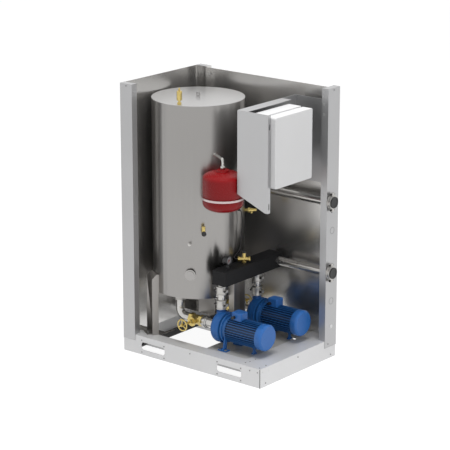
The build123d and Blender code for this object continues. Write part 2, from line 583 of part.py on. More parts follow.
STUB_R = 9.0
with BuildPart() as safety_valve:
    spot = (SAFETY_X, SAFETY_Y)
    rod("z", HZ, BOX_Z[1], spot, STUB_R)
    hexagon("z", BOX_Z[1], SAFETY_Z - 12, spot, 17.0)
    rod("z", SAFETY_Z - 12, SAFETY_TOP, spot, 12.5)
    rod("z", SAFETY_TOP, SAFETY_TOP + 9, spot, SAFETY_STEM_R)
    run = run_frame()
    stub(run, 12, 2 * RUN_HALF - 12, 15)
    stub(run, 0, 12, 18)
    stub(run, 2 * RUN_HALF - 12, 2 * RUN_HALF, 18)
    rod("y", BOX_Y[0], BOX_Y[1], (HX, HZ), HR, Mode.SUBTRACT)
safety_valve.part.label = "safety_valve"
export_step(safety_valve.part, "parts/safety_valve.step")

with BuildPart() as safety_knob:
    rod("z", SAFETY_TOP + CAP_RISE, SAFETY_TOP + 15, spot, 13.0)
    rod("z", SAFETY_TOP, SAFETY_TOP + 10, spot, SAFETY_STEM_R + BEARING_GAP, Mode.SUBTRACT)
safety_knob.part.label = "safety_knob"
export_step(safety_knob.part, "parts/safety_knob.step")

# Header in its insulating box
GAUGE_X, GAUGE_Y, GAUGE_Z, GAUGE_R = 92.0, -157.0, BOX_Z[1] + 57.0, 31.0
HEADER_Y = (BOX_Y[0] + 10.0, BOX_Y[1] - 7.0)
HEADER_WALL = 3.0
with BuildPart() as header:
    rod("y", *HEADER_Y, (HX, HZ), HR)
    rod("y", HEADER_Y[0] + HEADER_WALL, HEADER_Y[1] - HEADER_WALL, (HX, HZ), HR - HEADER_WALL, Mode.SUBTRACT)
    for side in SIDES:
        rod("z", HZ - HR - 1, HZ, (RISER_X, side * PY), RISER_R - RISER_WALL, Mode.SUBTRACT)
    rod("x", HX, HX + HR + 1, (PIPE_Y, HZ), PIPE_R - PIPE_WALL, Mode.SUBTRACT)
header.part.label = "header"
export_step(header.part, "parts/header.step")

with BuildPart() as header_insulation:
    slab(*BOX_X, *BOX_Y, *BOX_Z)
    rod("y", *HEADER_Y, (HX, HZ), HR, Mode.SUBTRACT)
    for side in SIDES:
        rod("z", BOX_Z[0] - 1, HZ, (RISER_X, side * PY), RISER_R, Mode.SUBTRACT)
    rod("x", HX, BOX_X[1] + 1, (PIPE_Y, HZ), PIPE_R, Mode.SUBTRACT)
    for x, y in ((GAUGE_X, GAUGE_Y), (SAFETY_X, SAFETY_Y)):
        rod("z", HZ, BOX_Z[1] + 1, (x, y), STUB_R, Mode.SUBTRACT)
header_insulation.part.label = "header_insulation"
export_step(header_insulation.part, "parts/header_insulation.step")

GAUGE_DEEP, PIVOT_R = 38.0, 2.0
with BuildPart() as gauge_case:
    front = GAUGE_X + GAUGE_DEEP / 2
    rod("z", HZ, GAUGE_Z - GAUGE_R + 4, (GAUGE_X, GAUGE_Y), STUB_R)
    hexagon("z", BOX_Z[1], BOX_Z[1] + 12, (GAUGE_X, GAUGE_Y), 14.0)
    rod("x", front - GAUGE_DEEP, front, (GAUGE_Y, GAUGE_Z), GAUGE_R)
    rod("x", front - 9, front + 1, (GAUGE_Y, GAUGE_Z), GAUGE_R - 3, Mode.SUBTRACT)
    rod("x", front - 9, front - 3, (GAUGE_Y, GAUGE_Z), PIVOT_R)
    rod("y", *BOX_Y, (HX, HZ), HR, Mode.SUBTRACT)
gauge_case.part.label = "gauge_case"
export_step(gauge_case.part, "parts/gauge_case.step")

NEEDLE_T = 1.0
with BuildPart() as gauge_needle:
    mid = front - 5
    rod("x", mid - NEEDLE_T, mid + NEEDLE_T, (GAUGE_Y, GAUGE_Z), 5.0)
    zero = Plane((mid - NEEDLE_T / 2, GAUGE_Y, GAUGE_Z), x_dir=(0, -1, -1), z_dir=(1, 0, 0))
    with BuildSketch(zero) as pointer:
        with Locations((6.5, 0)):
            Rectangle(31, 2.4)
    extrude(pointer.sketch, amount=NEEDLE_T)
    rod("x", mid - 2, mid + 2, (GAUGE_Y, GAUGE_Z), PIVOT_R + BEARING_GAP, Mode.SUBTRACT)
gauge_needle.part.label = "gauge_needle"
export_step(gauge_needle.part, "parts/gauge_needle.step")

# The two pipes that leave through the right-hand post
with BuildPart() as return_pipe:
    rod("x", HX, PIPE_END, (PIPE_Y, HZ), PIPE_R)
    rod("x", HX - 1, PIPE_END + 1, (PIPE_Y, HZ), PIPE_R - PIPE_WALL, Mode.SUBTRACT)
    rod("y", *BOX_Y, (HX, HZ), HR, Mode.SUBTRACT)
return_pipe.part.label = "return_pipe"
export_step(return_pipe.part, "parts/return_pipe.step")

with BuildPart() as supply_pipe:
    start = tank_frame(45, UPPER_Z)
    turn_x = TX + (PIPE_Y - TY)
    back = 40.0
    a = radians(45)
    with BuildLine():
        bend0 = (turn_x - back * cos(a), PIPE_Y - back * sin(a), UPPER_Z)
        bend1 = (turn_x + back, PIPE_Y, UPPER_Z)
        Line(start.origin, bend0)
        TangentArc(bend0, bend1, tangent=start.z_dir)
        Line(bend1, (PIPE_END, PIPE_Y, UPPER_Z))
    with BuildSketch(Plane(start.origin, z_dir=start.z_dir)):
        Circle(PIPE_R)
        Circle(PIPE_R - PIPE_WALL, mode=Mode.SUBTRACT)
    sweep()
    stub(start, -3, 6, PIPE_R)
    stub(start, -4, 7, PIPE_R - PIPE_WALL, mode=Mode.SUBTRACT)
    rod("z", TANK_Z0, TANK_Z1, (TX, TY), TR, Mode.SUBTRACT)
supply_pipe.part.label = "supply_pipe"
export_step(supply_pipe.part, "parts/supply_pipe.step")

# Each coupling: its middle, its pipe's direction, its ears' direction, length, radii and ear reach
COUPLINGS = []
for z in (HZ, UPPER_Z):
    COUPLINGS.append(((600.0, PIPE_Y, z), (1, 0, 0), (0, 0, 1), 28.0, 43.5, PIPE_R, 64.0))
for side in SIDES:
    for z, length in ((UPPER_JOINT_Z, 58.0), (LOWER_JOINT_Z, 60.0)):
        COUPLINGS.append(((RISER_X, side * PY, z), (0, 0, 1), (1, 0, 0), length, 33.0, RISER_R, 52.0))
    spot = (SUCTION_X, side * PY, SUCTION_JOINT_Z)
    COUPLINGS.append((spot, (0, 0, 1), (1, 0, 0), 44.0, 41.0, PIPE_R, 60.0))
EAR_HALF, EAR_BOLT_R, RIDGE, RIDGE_W, EAR_NUT = 9.0, 4.5, 4.0, 7.0, 7.0


def coupling_frame(middle, along, ears):
    """A frame whose Z runs along the pipe and whose X points to one ear."""
    return Plane(middle, x_dir=ears, z_dir=along)


with BuildPart() as pipe_couplings:
    for middle, along, ears, length, r, bore, reach in COUPLINGS:
        at = coupling_frame(middle, along, ears)
        end = length / 2
        for z0, z1, rr in ((-end, end, r), (-end, RIDGE_W - end, r + RIDGE), (end - RIDGE_W, end, r + RIDGE)):
            stub(at, z0, z1, rr)
        with BuildSketch(at.offset(-EAR_HALF)) as ear:
            Rectangle(2 * reach, 2 * EAR_HALF + 6)
        extrude(ear.sketch, amount=2 * EAR_HALF)
        stub(at, -end - 1, end + 1, bore, mode=Mode.SUBTRACT)
        across = Plane(middle, x_dir=ears, z_dir=at.y_dir)
        for s in (-1, 1):
            stub(across, -30, 30, EAR_BOLT_R + SCREW_FIT, at=(s * (reach - 10), 0), mode=Mode.SUBTRACT)
pipe_couplings.part.label = "pipe_couplings"
export_step(pipe_couplings.part, "parts/pipe_couplings.step")

with BuildPart() as coupling_bolts:
    for middle, along, ears, length, r, bore, reach in COUPLINGS:
        at = coupling_frame(middle, along, ears)
        across = Plane(middle, x_dir=ears, z_dir=at.y_dir)
        half = EAR_HALF + 3
        for s in (-1, 1):
            spot = (s * (reach - 10), 0)
            stub(across, -half, half, EAR_BOLT_R, at=spot)
            for z0 in (-half - EAR_NUT, half):
                with BuildSketch(across.offset(z0)) as head:
                    with Locations(spot):
                        RegularPolygon(8.0, 6)
                extrude(head.sketch, amount=EAR_NUT)
coupling_bolts.part.label = "coupling_bolts"
export_step(coupling_bolts.part, "parts/coupling_bolts.step")

CAP_R, CAP_FACE = 39.0, 621.0
with BuildPart() as end_caps:
    for z in (HZ, UPPER_Z):
        rod("x", PIPE_END, CAP_FACE - 7, (PIPE_Y, z), PIPE_R)
        rod("x", CAP_FACE - 7, CAP_FACE, (PIPE_Y, z), CAP_R)
        rod("x", CAP_FACE - 2, CAP_FACE + 1, (PIPE_Y, z), CAP_R - 10, Mode.SUBTRACT)
end_caps.part.label = "end_caps"
export_step(end_caps.part, "parts/end_caps.step")

# Risers from the pumps to the header
MEET = 0.3
with BuildPart() as riser_pipes:
    for side in SIDES:
        y = side * PY
        rod("z", UPPER_JOINT_Z, HZ, (RISER_X, y), RISER_R)
        rod("z", LOWER_JOINT_Z + MEET, UPPER_JOINT_Z - MEET, (RISER_X, y), RISER_R)
        rod("z", LOWER_JOINT_Z, HZ, (RISER_X, y), RISER_R - RISER_WALL, Mode.SUBTRACT)
        tap = (y, (LOWER_JOINT_Z + UPPER_JOINT_Z) / 2)
        rod("x", RISER_X - RISER_R - 14, RISER_X - RISER_R + 2, tap, 10.0)
    rod("y", *BOX_Y, (HX, HZ), HR, Mode.SUBTRACT)
riser_pipes.part.label = "riser_pipes"
export_step(riser_pipes.part, "parts/riser_pipes.step")

# Suction side: down from the tank, round an elbow and through a gate valve
ELBOW_R, VALVE_HALF = 60.0, 56.0
UNION_X = (VALVE_X + VALVE_HALF, -45.0)
with BuildPart() as suction_pipes:
    for side in SIDES:
        y = side * PY
        top, bore = TANK_Z0 + TANK_WALL, PIPE_R - PIPE_WALL
        rod("z", SUCTION_JOINT_Z + MEET, top, (SUCTION_X, y), PIPE_R)
        rod("z", SUCTION_JOINT_Z - 1, top + 1, (SUCTION_X, y), bore, Mode.SUBTRACT)
        with BuildLine() as route:
            Line((SUCTION_X, y, SUCTION_JOINT_Z), (SUCTION_X, y, PZ + ELBOW_R))
            TangentArc((SUCTION_X, y, PZ + ELBOW_R), (SUCTION_X + ELBOW_R, y, PZ), tangent=(0, 0, -1))
            Line((SUCTION_X + ELBOW_R, y, PZ), (VALVE_X - VALVE_HALF, y, PZ))
        with BuildSketch(Plane((SUCTION_X, y, SUCTION_JOINT_Z), z_dir=(0, 0, -1))) as ring:
            Circle(PIPE_R)
            Circle(PIPE_R - PIPE_WALL, mode=Mode.SUBTRACT)
        sweep(ring.sketch, path=route.wires()[0])
        rod("x", *UNION_X, (y, PZ), 36.0)
        rod("x", UNION_X[0] + 12, UNION_X[0] + 34, (y, PZ), 41.0)
        rod("x", UNION_X[1], PUMP_FLANGE_X, (y, PZ), PIPE_R)
        rod("x", UNION_X[0] - 1, PUMP_FLANGE_X + 1, (y, PZ), PIPE_R - PIPE_WALL, Mode.SUBTRACT)
suction_pipes.part.label = "suction_pipes"
export_step(suction_pipes.part, "parts/suction_pipes.step")

STEM_R, STEM_GAP = 6.0, 0.05
BONNET = 82.0
with BuildPart() as gate_valves:
    for side in SIDES:
        y = side * PY
        for x0, x1 in ((VALVE_X - VALVE_HALF, VALVE_X - 30), (VALVE_X + 30, VALVE_X + VALVE_HALF)):
            hexagon("x", x0, x1, (y, PZ), 40.0)
        rod("x", VALVE_X - 30, VALVE_X + 30, (y, PZ), 33.0)
        for d0, d1, r in ((0, 52, 28.0), (52, 62, 33.0), (62, BONNET, 17.0)):
            rod("y", *sorted((y + side * d0, y + side * d1)), (VALVE_X, PZ), r)
        rod("x", VALVE_X - 60, VALVE_X + 60, (y, PZ), PIPE_R - PIPE_WALL, Mode.SUBTRACT)
        rod("y", *sorted((y, y + side * (BONNET + 1))), (VALVE_X, PZ), STEM_R + STEM_GAP, Mode.SUBTRACT)
gate_valves.part.label = "gate_valves"
export_step(gate_valves.part, "parts/gate_valves.step")

WHEEL_R, RIM_R, HUB_R = 38.5, 5.0, 11.0


def handwheel(side):
    """A rim, three spokes, a hub and the stem they turn, on one side of the module."""
    y = side * (PY + WHEEL_Y)
    out = Plane((VALVE_X, y, PZ), x_dir=(1, 0, 0), z_dir=(0, side, 0))
    with Locations(Location(out)):
        Torus(WHEEL_R, RIM_R)
        with PolarLocations(WHEEL_R / 2, 3, start_angle=90):
            Box(WHEEL_R, 8, 6)
        Cylinder(HUB_R, 16)
    rod("y", *sorted((side * (PY + 45), side * (PY + WHEEL_Y + 14))), (VALVE_X, PZ), STEM_R)
    hexagon("y", y + side * 8 - 3, y + side * 8 + 3, (VALVE_X, PZ), 9.0)


with BuildPart() as handwheel_near:
    handwheel(-1)
handwheel_near.part.label = "handwheel_near"
export_step(handwheel_near.part, "parts/handwheel_near.step")

with BuildPart() as handwheel_far:
    handwheel(1)
handwheel_far.part.label = "handwheel_far"
export_step(handwheel_far.part, "parts/handwheel_far.step")

# Pumps
VOLUTE_X = (45.0, 100.0)
NECK_TOP, FLANGE_TOP = LOWER_JOINT_Z - MEET, PZ + VOLUTE_R + 4
with BuildPart() as pump_casings:
    for side in SIDES:
        y = side * PY
        with BuildSketch(Plane((0, y, PZ), x_dir=(1, 0, 0), z_dir=(0, -1, 0))) as half:
            with BuildLine():
                Line((VOLUTE_X[0], 0), (VOLUTE_X[0], 78))
                RadiusArc((VOLUTE_X[0], 78), (VOLUTE_X[0] + 29, VOLUTE_R), 30)
                Line((VOLUTE_X[0] + 29, VOLUTE_R), (VOLUTE_X[1], VOLUTE_R))
                Line((VOLUTE_X[1], VOLUTE_R), (VOLUTE_X[1], 0))
                Line((VOLUTE_X[1], 0), (VOLUTE_X[0], 0))
            make_face()
        revolve(half.sketch, axis=Axis((0, y, PZ), (1, 0, 0)))
        rod("x", PUMP_FLANGE_X, VOLUTE_X[0] + 4, (y, PZ), 40.0)
        rod("z", PZ, FLANGE_TOP, (RISER_X, y), 31.0)
        rod("z", PZ, NECK_TOP, (RISER_X, y), RISER_R)
        rod("x", 53.0, 93.0, (y, PZ), 92.0, Mode.SUBTRACT)
        rod("x", PUMP_FLANGE_X - 1, 60.0, (y, PZ), PIPE_R - PIPE_WALL, Mode.SUBTRACT)
        rod("x", 90.0, VOLUTE_X[1] + 1, (y, PZ), SHAFT_R + 2, Mode.SUBTRACT)
        rod("z", PZ + 60, NECK_TOP + 1, (RISER_X, y), RISER_R - RISER_WALL, Mode.SUBTRACT)
pump_casings.part.label = "pump_casings"
export_step(pump_casings.part, "parts/pump_casings.step")

FINS, FIN_T, FIN_FIT, STATOR_X = 32, 3.2, 0.1, (165.0, 418.0)
STEPS = ((100, 108, 88), (108, 122, 105), (122, 130, 85), (130, 142, 98), (142, 165, 86), (418, 428, 88))
COVER_X, COVER_T = (420.0, 473.0), 2.0
with BuildPart() as motor_bodies:
    for side in SIDES:
        y = side * PY
        for x0, x1, r in STEPS:
            rod("x", x0, x1, (y, PZ), r)
        with BuildSketch(Plane((STATOR_X[0], y, PZ), x_dir=(0, 1, 0), z_dir=(1, 0, 0))) as section:
            Circle(MOTOR_R)
            with PolarLocations(FIN_R - 10, FINS, start_angle=90):
                Rectangle(20, FIN_T)
        extrude(section.sketch, amount=STATOR_X[1] - STATOR_X[0])
        rod("x", 150.0, 405.0, (y, PZ), 60.0, Mode.SUBTRACT)
        rod("x", 99.0, 429.0, (y, PZ), SHAFT_R + BEARING_GAP, Mode.SUBTRACT)
motor_bodies.part.label = "motor_bodies"
export_step(motor_bodies.part, "parts/motor_bodies.step")

with BuildPart() as fan_covers:
    for side in SIDES:
        y = side * PY
        rod("x", *COVER_X, (y, PZ), COVER_R)
    chamfer(fan_covers.edges().filter_by(GeomType.CIRCLE).group_by(Axis.X)[-1], 12)
    for side in SIDES:
        y = side * PY
        rod("x", COVER_X[0] - 1, COVER_X[1] - 14, (y, PZ), COVER_R - COVER_T, Mode.SUBTRACT)
        rod("x", COVER_X[0], COVER_X[1] - COVER_T, (y, PZ), COVER_R - 16, Mode.SUBTRACT)
fan_covers.part.label = "fan_covers"
export_step(fan_covers.part, "parts/fan_covers.step")


def rotor(y):
    """Shaft with its impeller, rotor core and fan."""
    rod("x", 58.0, 458.0, (y, PZ), SHAFT_R)
    rod("x", 62.0, 84.0, (y, PZ), 82.0)
    rod("x", 190.0, 370.0, (y, PZ), 48.0)
    rod("x", 434.0, 438.0, (y, PZ), 66.0)
    rod("x", 434.0, 456.0, (y, PZ), 22.0)
    with BuildSketch(Plane((438.0, y, PZ), x_dir=(0, 1, 0), z_dir=(1, 0, 0))) as blades:
        with PolarLocations(42, 6):
            Rectangle(44, 3)
    extrude(blades.sketch, amount=14)


with BuildPart() as rotor_near:
    rotor(-PY)
rotor_near.part.label = "rotor_near"
export_step(rotor_near.part, "parts/rotor_near.step")

with BuildPart() as rotor_far:
    rotor(PY)
rotor_far.part.label = "rotor_far"
export_step(rotor_far.part, "parts/rotor_far.step")

TBOX_X, TBOX_HALF, TBOX_TOP = (188.0, 270.0), 38.0, PZ + 135.0
GLAND_AT, GLAND_R = (212.0, PZ + 101.0), 7.0
with BuildPart() as terminal_boxes:
    for side in SIDES:
        y = side * PY
        slab(*TBOX_X, y - TBOX_HALF, y + TBOX_HALF, PZ + 60, TBOX_TOP)
    fillet(terminal_boxes.edges().filter_by(Axis.Z), 10)
    fillet(terminal_boxes.edges().group_by(Axis.Z)[-1], 5)
    for side in SIDES:
        y = side * PY
        slab(TBOX_X[0] + 4, TBOX_X[1] - 4, y - TBOX_HALF + 4, y + TBOX_HALF - 4, PZ + 50, TBOX_TOP - 4,
             Mode.SUBTRACT)
        rod("x", *TBOX_X, (y, PZ), FIN_R + FIN_FIT, Mode.SUBTRACT)
        rod("y", y - TBOX_HALF - 1, y - TBOX_HALF + 5, GLAND_AT, GLAND_R, Mode.SUBTRACT)
terminal_boxes.part.label = "terminal_boxes"
export_step(terminal_boxes.part, "parts/terminal_boxes.step")

with BuildPart() as cable_glands:
    for side in SIDES:
        y = side * PY - TBOX_HALF
        rod("y", y - 20, y, GLAND_AT, 11.0)
        rod("y", y, y + 8, GLAND_AT, GLAND_R)
cable_glands.part.label = "cable_glands"
export_step(cable_glands.part, "parts/cable_glands.step")

FOOT_X, FOOT_REACH, WEB_X = (120.0, 193.0), 103.0, (155.0, 163.0)
with BuildPart() as pump_feet:
    for side in SIDES:
        y = side * PY
        slab(*FOOT_X, y - FOOT_REACH, y + FOOT_REACH, DECK_TOP, DECK_TOP + PUMP_FOOT_T)
        with BuildSketch(Plane((WEB_X[0], y, 0), x_dir=(0, 1, 0), z_dir=(1, 0, 0))) as web:
            with BuildLine():
                low, high = DECK_TOP + PUMP_FOOT_T, PZ - 40
                Polyline((-FOOT_REACH, low), (FOOT_REACH, low), (74, high), (-74, high), close=True)
            make_face()
        extrude(web.sketch, amount=WEB_X[1] - WEB_X[0])
        rod("x", 140, 166, (y, PZ), 86.0, Mode.SUBTRACT)
        slab(337, 370, y - 40, y + 40, DECK_TOP, DECK_TOP + 6)
        slab(347, 360, y - 16, y + 16, DECK_TOP + 6, PZ - 60)
        rod("x", 330, 380, (y, PZ), FIN_R + FIN_FIT, Mode.SUBTRACT)
    for x, y in pump_bolts():
        rod("z", DECK_TOP - 1, DECK_TOP + PUMP_FOOT_T + 1, (x, y), PUMP_BOLT_R + SCREW_FIT, Mode.SUBTRACT)
pump_feet.part.label = "pump_feet"
export_step(pump_feet.part, "parts/pump_feet.step")

# Cabinet and the folded rack that carries it
RACK_X1, RACK_LOW_LEFT, RACK_LOW_RIGHT, RACK_SLANT_X = 516.0, 1238.0, 1146.0, 493.0
RACK_BACK_Y, RACK_BACK_LOW, RACK_BACK_TOP = HALF_Y - 58.0, 1224.0, RACK_TOP - 2.0
RACK_FLANGE_X, RACK_FLANGE_Y = 345.0, 200.0
with BuildPart() as cabinet_rack:
    t = RACK_SHEET
    with BuildSketch(Plane((0, PLATE_Y + t, 0), x_dir=(1, 0, 0), z_dir=(0, -1, 0))) as near_plate:
        with BuildLine():
            Polyline((PLATE_X, RACK_TOP), (RACK_X1, RACK_TOP), (RACK_X1, RACK_LOW_RIGHT),
                     (RACK_SLANT_X, RACK_LOW_RIGHT), (PLATE_X, RACK_LOW_LEFT), close=True)
        make_face()
    extrude(near_plate.sketch, amount=t)
    slab(RACK_X1 - t, RACK_X1, PLATE_Y, PLATE_Y + 27, RACK_LOW_RIGHT, RACK_TOP)
    slab(PLATE_X, PLATE_X + t, PLATE_Y, RACK_BACK_Y + t, RACK_LOW_LEFT, RACK_TOP)
    slab(PLATE_X, RACK_FLANGE_X, PLATE_Y, RACK_FLANGE_Y, RACK_TOP - t, RACK_TOP)
    post = X1 - POST_DEPTH
    slab(PLATE_X, post, RACK_BACK_Y, RACK_BACK_Y + t, RACK_BACK_LOW, RACK_BACK_TOP)
    slab(post - t, post, HALF_Y + SHEET - BR_W + t, RACK_BACK_Y + t, RACK_BACK_LOW, RACK_BACK_TOP)
    for z in (1170.0, 1700.0):
        slab(RACK_X1 - t - 1, RACK_X1 + 1, PLATE_Y + 9, PLATE_Y + 18, z, z + 40, Mode.SUBTRACT)
cabinet_rack.part.label = "cabinet_rack"
export_step(cabinet_rack.part, "parts/cabinet_rack.step")

STANDOFF_Z, STANDOFF_H, STANDOFF_Y = (1380.0, 1680.0), 40.0, (-200.0, 120.0)
with BuildPart() as cabinet_standoffs:
    for z in STANDOFF_Z:
        x0, x1 = PLATE_X + RACK_SHEET, CAB_X[0]
        slab(x0, x1, *STANDOFF_Y, z, z + STANDOFF_H)
        slab(x0 + 3, x1 - 3, STANDOFF_Y[0] - 1, STANDOFF_Y[1] + 1, z + 3, z + STANDOFF_H - 3, Mode.SUBTRACT)
cabinet_standoffs.part.label = "cabinet_standoffs"
export_step(cabinet_standoffs.part, "parts/cabinet_standoffs.step")

CAB_SHEET, NECK_INSET, NECK_LIP = 2.0, 10.0, 24.0
HINGE_AT = (CAB_X[2], CAB_Y[1] + 8.0)
HINGE_Z, KNUCKLE, KNUCKLE_R, KNUCKLE_GAP, LEAF_T = (1360.0, 1690.0), 14.0, 7.0, 0.4, 2.5


def inset_slab(x0, x1, inset, mode=Mode.ADD):
    """A slab the cabinet's size seen from the front, less a margin all round."""
    slab(x0, x1, CAB_Y[0] + inset, CAB_Y[1] - inset, CAB_Z[0] + inset, CAB_Z[1] - inset, mode)


with BuildPart() as cabinet_body:
    w = CAB_SHEET
    inset_slab(CAB_X[0], CAB_X[1], 0)
    inset_slab(CAB_X[0] + w, CAB_X[1] - w, w, Mode.SUBTRACT)
    inset_slab(CAB_X[1] - w, CAB_X[2], NECK_INSET)
    inset_slab(CAB_X[1] - w - 1, CAB_X[2] - w, NECK_INSET + w, Mode.SUBTRACT)
    inset_slab(CAB_X[2] - w - 1, CAB_X[2] + 1, NECK_LIP, Mode.SUBTRACT)
    for z in HINGE_Z:
        for z0 in (z, z + 2 * KNUCKLE):
            slab(CAB_X[1] - 30, CAB_X[2], CAB_Y[1], CAB_Y[1] + LEAF_T, z0, z0 + KNUCKLE)
            rod("z", z0, z0 + KNUCKLE, HINGE_AT, KNUCKLE_R)
        rod("z", z, z + 3 * KNUCKLE, HINGE_AT, HINGE_R)
cabinet_body.part.label = "cabinet_body"
export_step(cabinet_body.part, "parts/cabinet_body.step")

with BuildPart() as cabinet_plate:
    x0 = CAB_X[0] + CAB_SHEET
    inset_slab(x0 + 12, x0 + 14, 24)
    for s in (-1, 1):
        for z in (CAB_Z[0] + 50, CAB_Z[1] - 50):
            rod("x", x0, x0 + 12, (sum(CAB_Y) / 2 + s * 140, z), 5.0)
cabinet_plate.part.label = "cabinet_plate"
export_step(cabinet_plate.part, "parts/cabinet_plate.step")

DOOR_GAP, TONGUE = 0.5, 19.0
LOCK_Y, LOCK_Z, LOCK_R, LOCK_COLLAR_R = -205.0, (1400.0, 1688.0), 6.0, 10.0
with BuildPart() as cabinet_door:
    w = CAB_SHEET
    x0, x1 = CAB_X[2] + DOOR_GAP, CAB_X[3]
    inset_slab(x0, x1, 0)
    fillet(cabinet_door.edges().filter_by(Axis.X), DOOR_R)
    fillet(cabinet_door.edges().group_by(Axis.X)[-1], 4)
    inset_slab(x0 + w, x1 - w, w + 3, Mode.SUBTRACT)
    inset_slab(x0 - 1, x0 + w + 1, NECK_LIP, Mode.SUBTRACT)
    for z in HINGE_Z:
        z0, z1 = z + KNUCKLE + KNUCKLE_GAP, z + 2 * KNUCKLE - KNUCKLE_GAP
        slab(CAB_X[2] + 1, CAB_X[2] + 30, CAB_Y[1], CAB_Y[1] + LEAF_T, z0, z1)
        rod("z", z0, z1, HINGE_AT, KNUCKLE_R)
        rod("z", z0 - 1, z1 + 1, HINGE_AT, HINGE_R + HINGE_GAP, Mode.SUBTRACT)
    for z in LOCK_Z:
        rod("x", x1 - w - 1, x1 + 1, (LOCK_Y, z), LOCK_R + STEM_GAP, Mode.SUBTRACT)
cabinet_door.part.label = "cabinet_door"
export_step(cabinet_door.part, "parts/cabinet_door.step")


def door_lock(z):
    """A quarter-turn lock: a slotted spindle flush with the door, a collar and a tongue inside."""
    x1 = CAB_X[3]
    collar = x1 - CAB_SHEET - KNUCKLE_GAP
    tongue = CAB_X[2] - CAB_SHEET - DOOR_GAP
    rod("x", tongue - 4, x1, (LOCK_Y, z), LOCK_R)
    rod("x", collar - 4, collar, (LOCK_Y, z), LOCK_COLLAR_R)
    slab(tongue - 4, tongue, LOCK_Y - LOCK_R, LOCK_Y + LOCK_R, z, z + TONGUE)
    slab(x1 - 2, x1 + 1, LOCK_Y - LOCK_R - 1, LOCK_Y + LOCK_R + 1, z - 1, z + 1, Mode.SUBTRACT)


with BuildPart() as door_lock_lower:
    door_lock(LOCK_Z[0])
door_lock_lower.part.label = "door_lock_lower"
export_step(door_lock_lower.part, "parts/door_lock_lower.step")

with BuildPart() as door_lock_upper:
    door_lock(LOCK_Z[1])
door_lock_upper.part.label = "door_lock_upper"
export_step(door_lock_upper.part, "parts/door_lock_upper.step")
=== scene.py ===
# %% [markdown]
# # Dressing the hydronic pump module
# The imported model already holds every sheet, pipe, pump and valve at its real size. This lesson
# puts that frame in a small photo studio, gives each node a finish worked out in nodes, and adds
# the small things that make sheet metal and castings believable: screw heads, pressed
# knock-outs, clips, the pumps' own legs, caps on the posts, and a dial with its ticks.

# %% Load the frame
import json
from math import cos, pi, radians, sin

import bmesh
import bpy
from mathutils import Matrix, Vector


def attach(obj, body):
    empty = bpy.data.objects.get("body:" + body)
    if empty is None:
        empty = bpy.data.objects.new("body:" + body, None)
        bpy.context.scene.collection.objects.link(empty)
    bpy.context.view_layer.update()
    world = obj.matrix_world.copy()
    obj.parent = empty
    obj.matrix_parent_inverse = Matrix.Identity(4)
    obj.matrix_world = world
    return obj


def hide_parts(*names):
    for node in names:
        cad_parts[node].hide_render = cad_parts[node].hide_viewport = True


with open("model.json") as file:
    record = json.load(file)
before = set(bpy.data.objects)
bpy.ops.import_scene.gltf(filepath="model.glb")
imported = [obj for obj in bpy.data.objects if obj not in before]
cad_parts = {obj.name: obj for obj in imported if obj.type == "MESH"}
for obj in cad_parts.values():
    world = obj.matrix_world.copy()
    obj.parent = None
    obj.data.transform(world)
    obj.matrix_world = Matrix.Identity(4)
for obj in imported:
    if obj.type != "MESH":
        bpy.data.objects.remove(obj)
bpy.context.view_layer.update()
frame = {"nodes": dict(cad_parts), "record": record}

ROOT = "module"

# %% [markdown]
# ## Camera
# The photo was taken from the front right, a little above the top of the tank, with a long lens.
# The place below was worked out from the edges of the base and the posts, so a ray through any
# corner of the picture lands on the same corner of the model. A long lens keeps uprights nearly
# parallel, which is why no shift is needed.

# %% Camera at the photo's place
CAMERA_AT = (7.7958, -9.6003, 4.4875)
CAMERA_TILT, CAMERA_TURN = radians(90 - 16.096), radians(39.287)
LENS_MM, SENSOR_MM = 152.22, 36.0

lens = bpy.data.cameras.new("camera")
lens.lens, lens.sensor_width = LENS_MM, SENSOR_MM
lens.clip_end = 100.0
camera = bpy.data.objects.new("camera", lens)
camera.location = CAMERA_AT
camera.rotation_euler = (CAMERA_TILT, 0.0, CAMERA_TURN)
bpy.context.collection.objects.link(camera)
bpy.context.scene.camera = camera
bpy.context.scene.view_settings.view_transform = "Standard"
print("camera metres from the module:", round(Vector(CAMERA_AT).length, 2))

# %% [markdown]
# ## Tent and lamps
# Product pictures of machines are mostly shot in a white tent: light comes from everywhere, and
# the lamps stand behind the cloth. The world is the tent. The camera and mirror-like rays see it
# white, while its share of the light stays moderate, so that pale sheet doesn't burn out. A large
# lamp above lights what lies flat, one at the right shades the uprights, and a weak one fills in
# from the front. Mirror-like rays pass the lamps by, as each would draw a streak down the tank.

# %% World
TENT_LIGHT, TENT_SEEN, WHITE = 0.42, 1.0, (1, 1, 1, 1)


def seen_rays(nodes, links):
    """A socket that is 1 for rays from the camera or off a mirror, and 0 for all other light."""
    rays, either = nodes.new("ShaderNodeLightPath"), nodes.new("ShaderNodeMath")
    either.operation = "MAXIMUM"
    links.new(rays.outputs["Is Camera Ray"], either.inputs[0])
    links.new(rays.outputs["Is Glossy Ray"], either.inputs[1])
    return either.outputs[0]


world = bpy.data.worlds.new("tent")
bpy.context.scene.world = world
world.use_nodes = True
nodes, links = world.node_tree.nodes, world.node_tree.links
nodes.clear()
out, mix = nodes.new("ShaderNodeOutputWorld"), nodes.new("ShaderNodeMixShader")
links.new(seen_rays(nodes, links), mix.inputs["Fac"])
for socket, strength in ((1, TENT_LIGHT), (2, TENT_SEEN)):
    light = nodes.new("ShaderNodeBackground")
    light.inputs["Color"].default_value = WHITE
    light.inputs["Strength"].default_value = strength
    links.new(light.outputs[0], mix.inputs[socket])
links.new(mix.outputs[0], out.inputs["Surface"])
print("tent lights at", TENT_LIGHT, "and is seen at", TENT_SEEN)

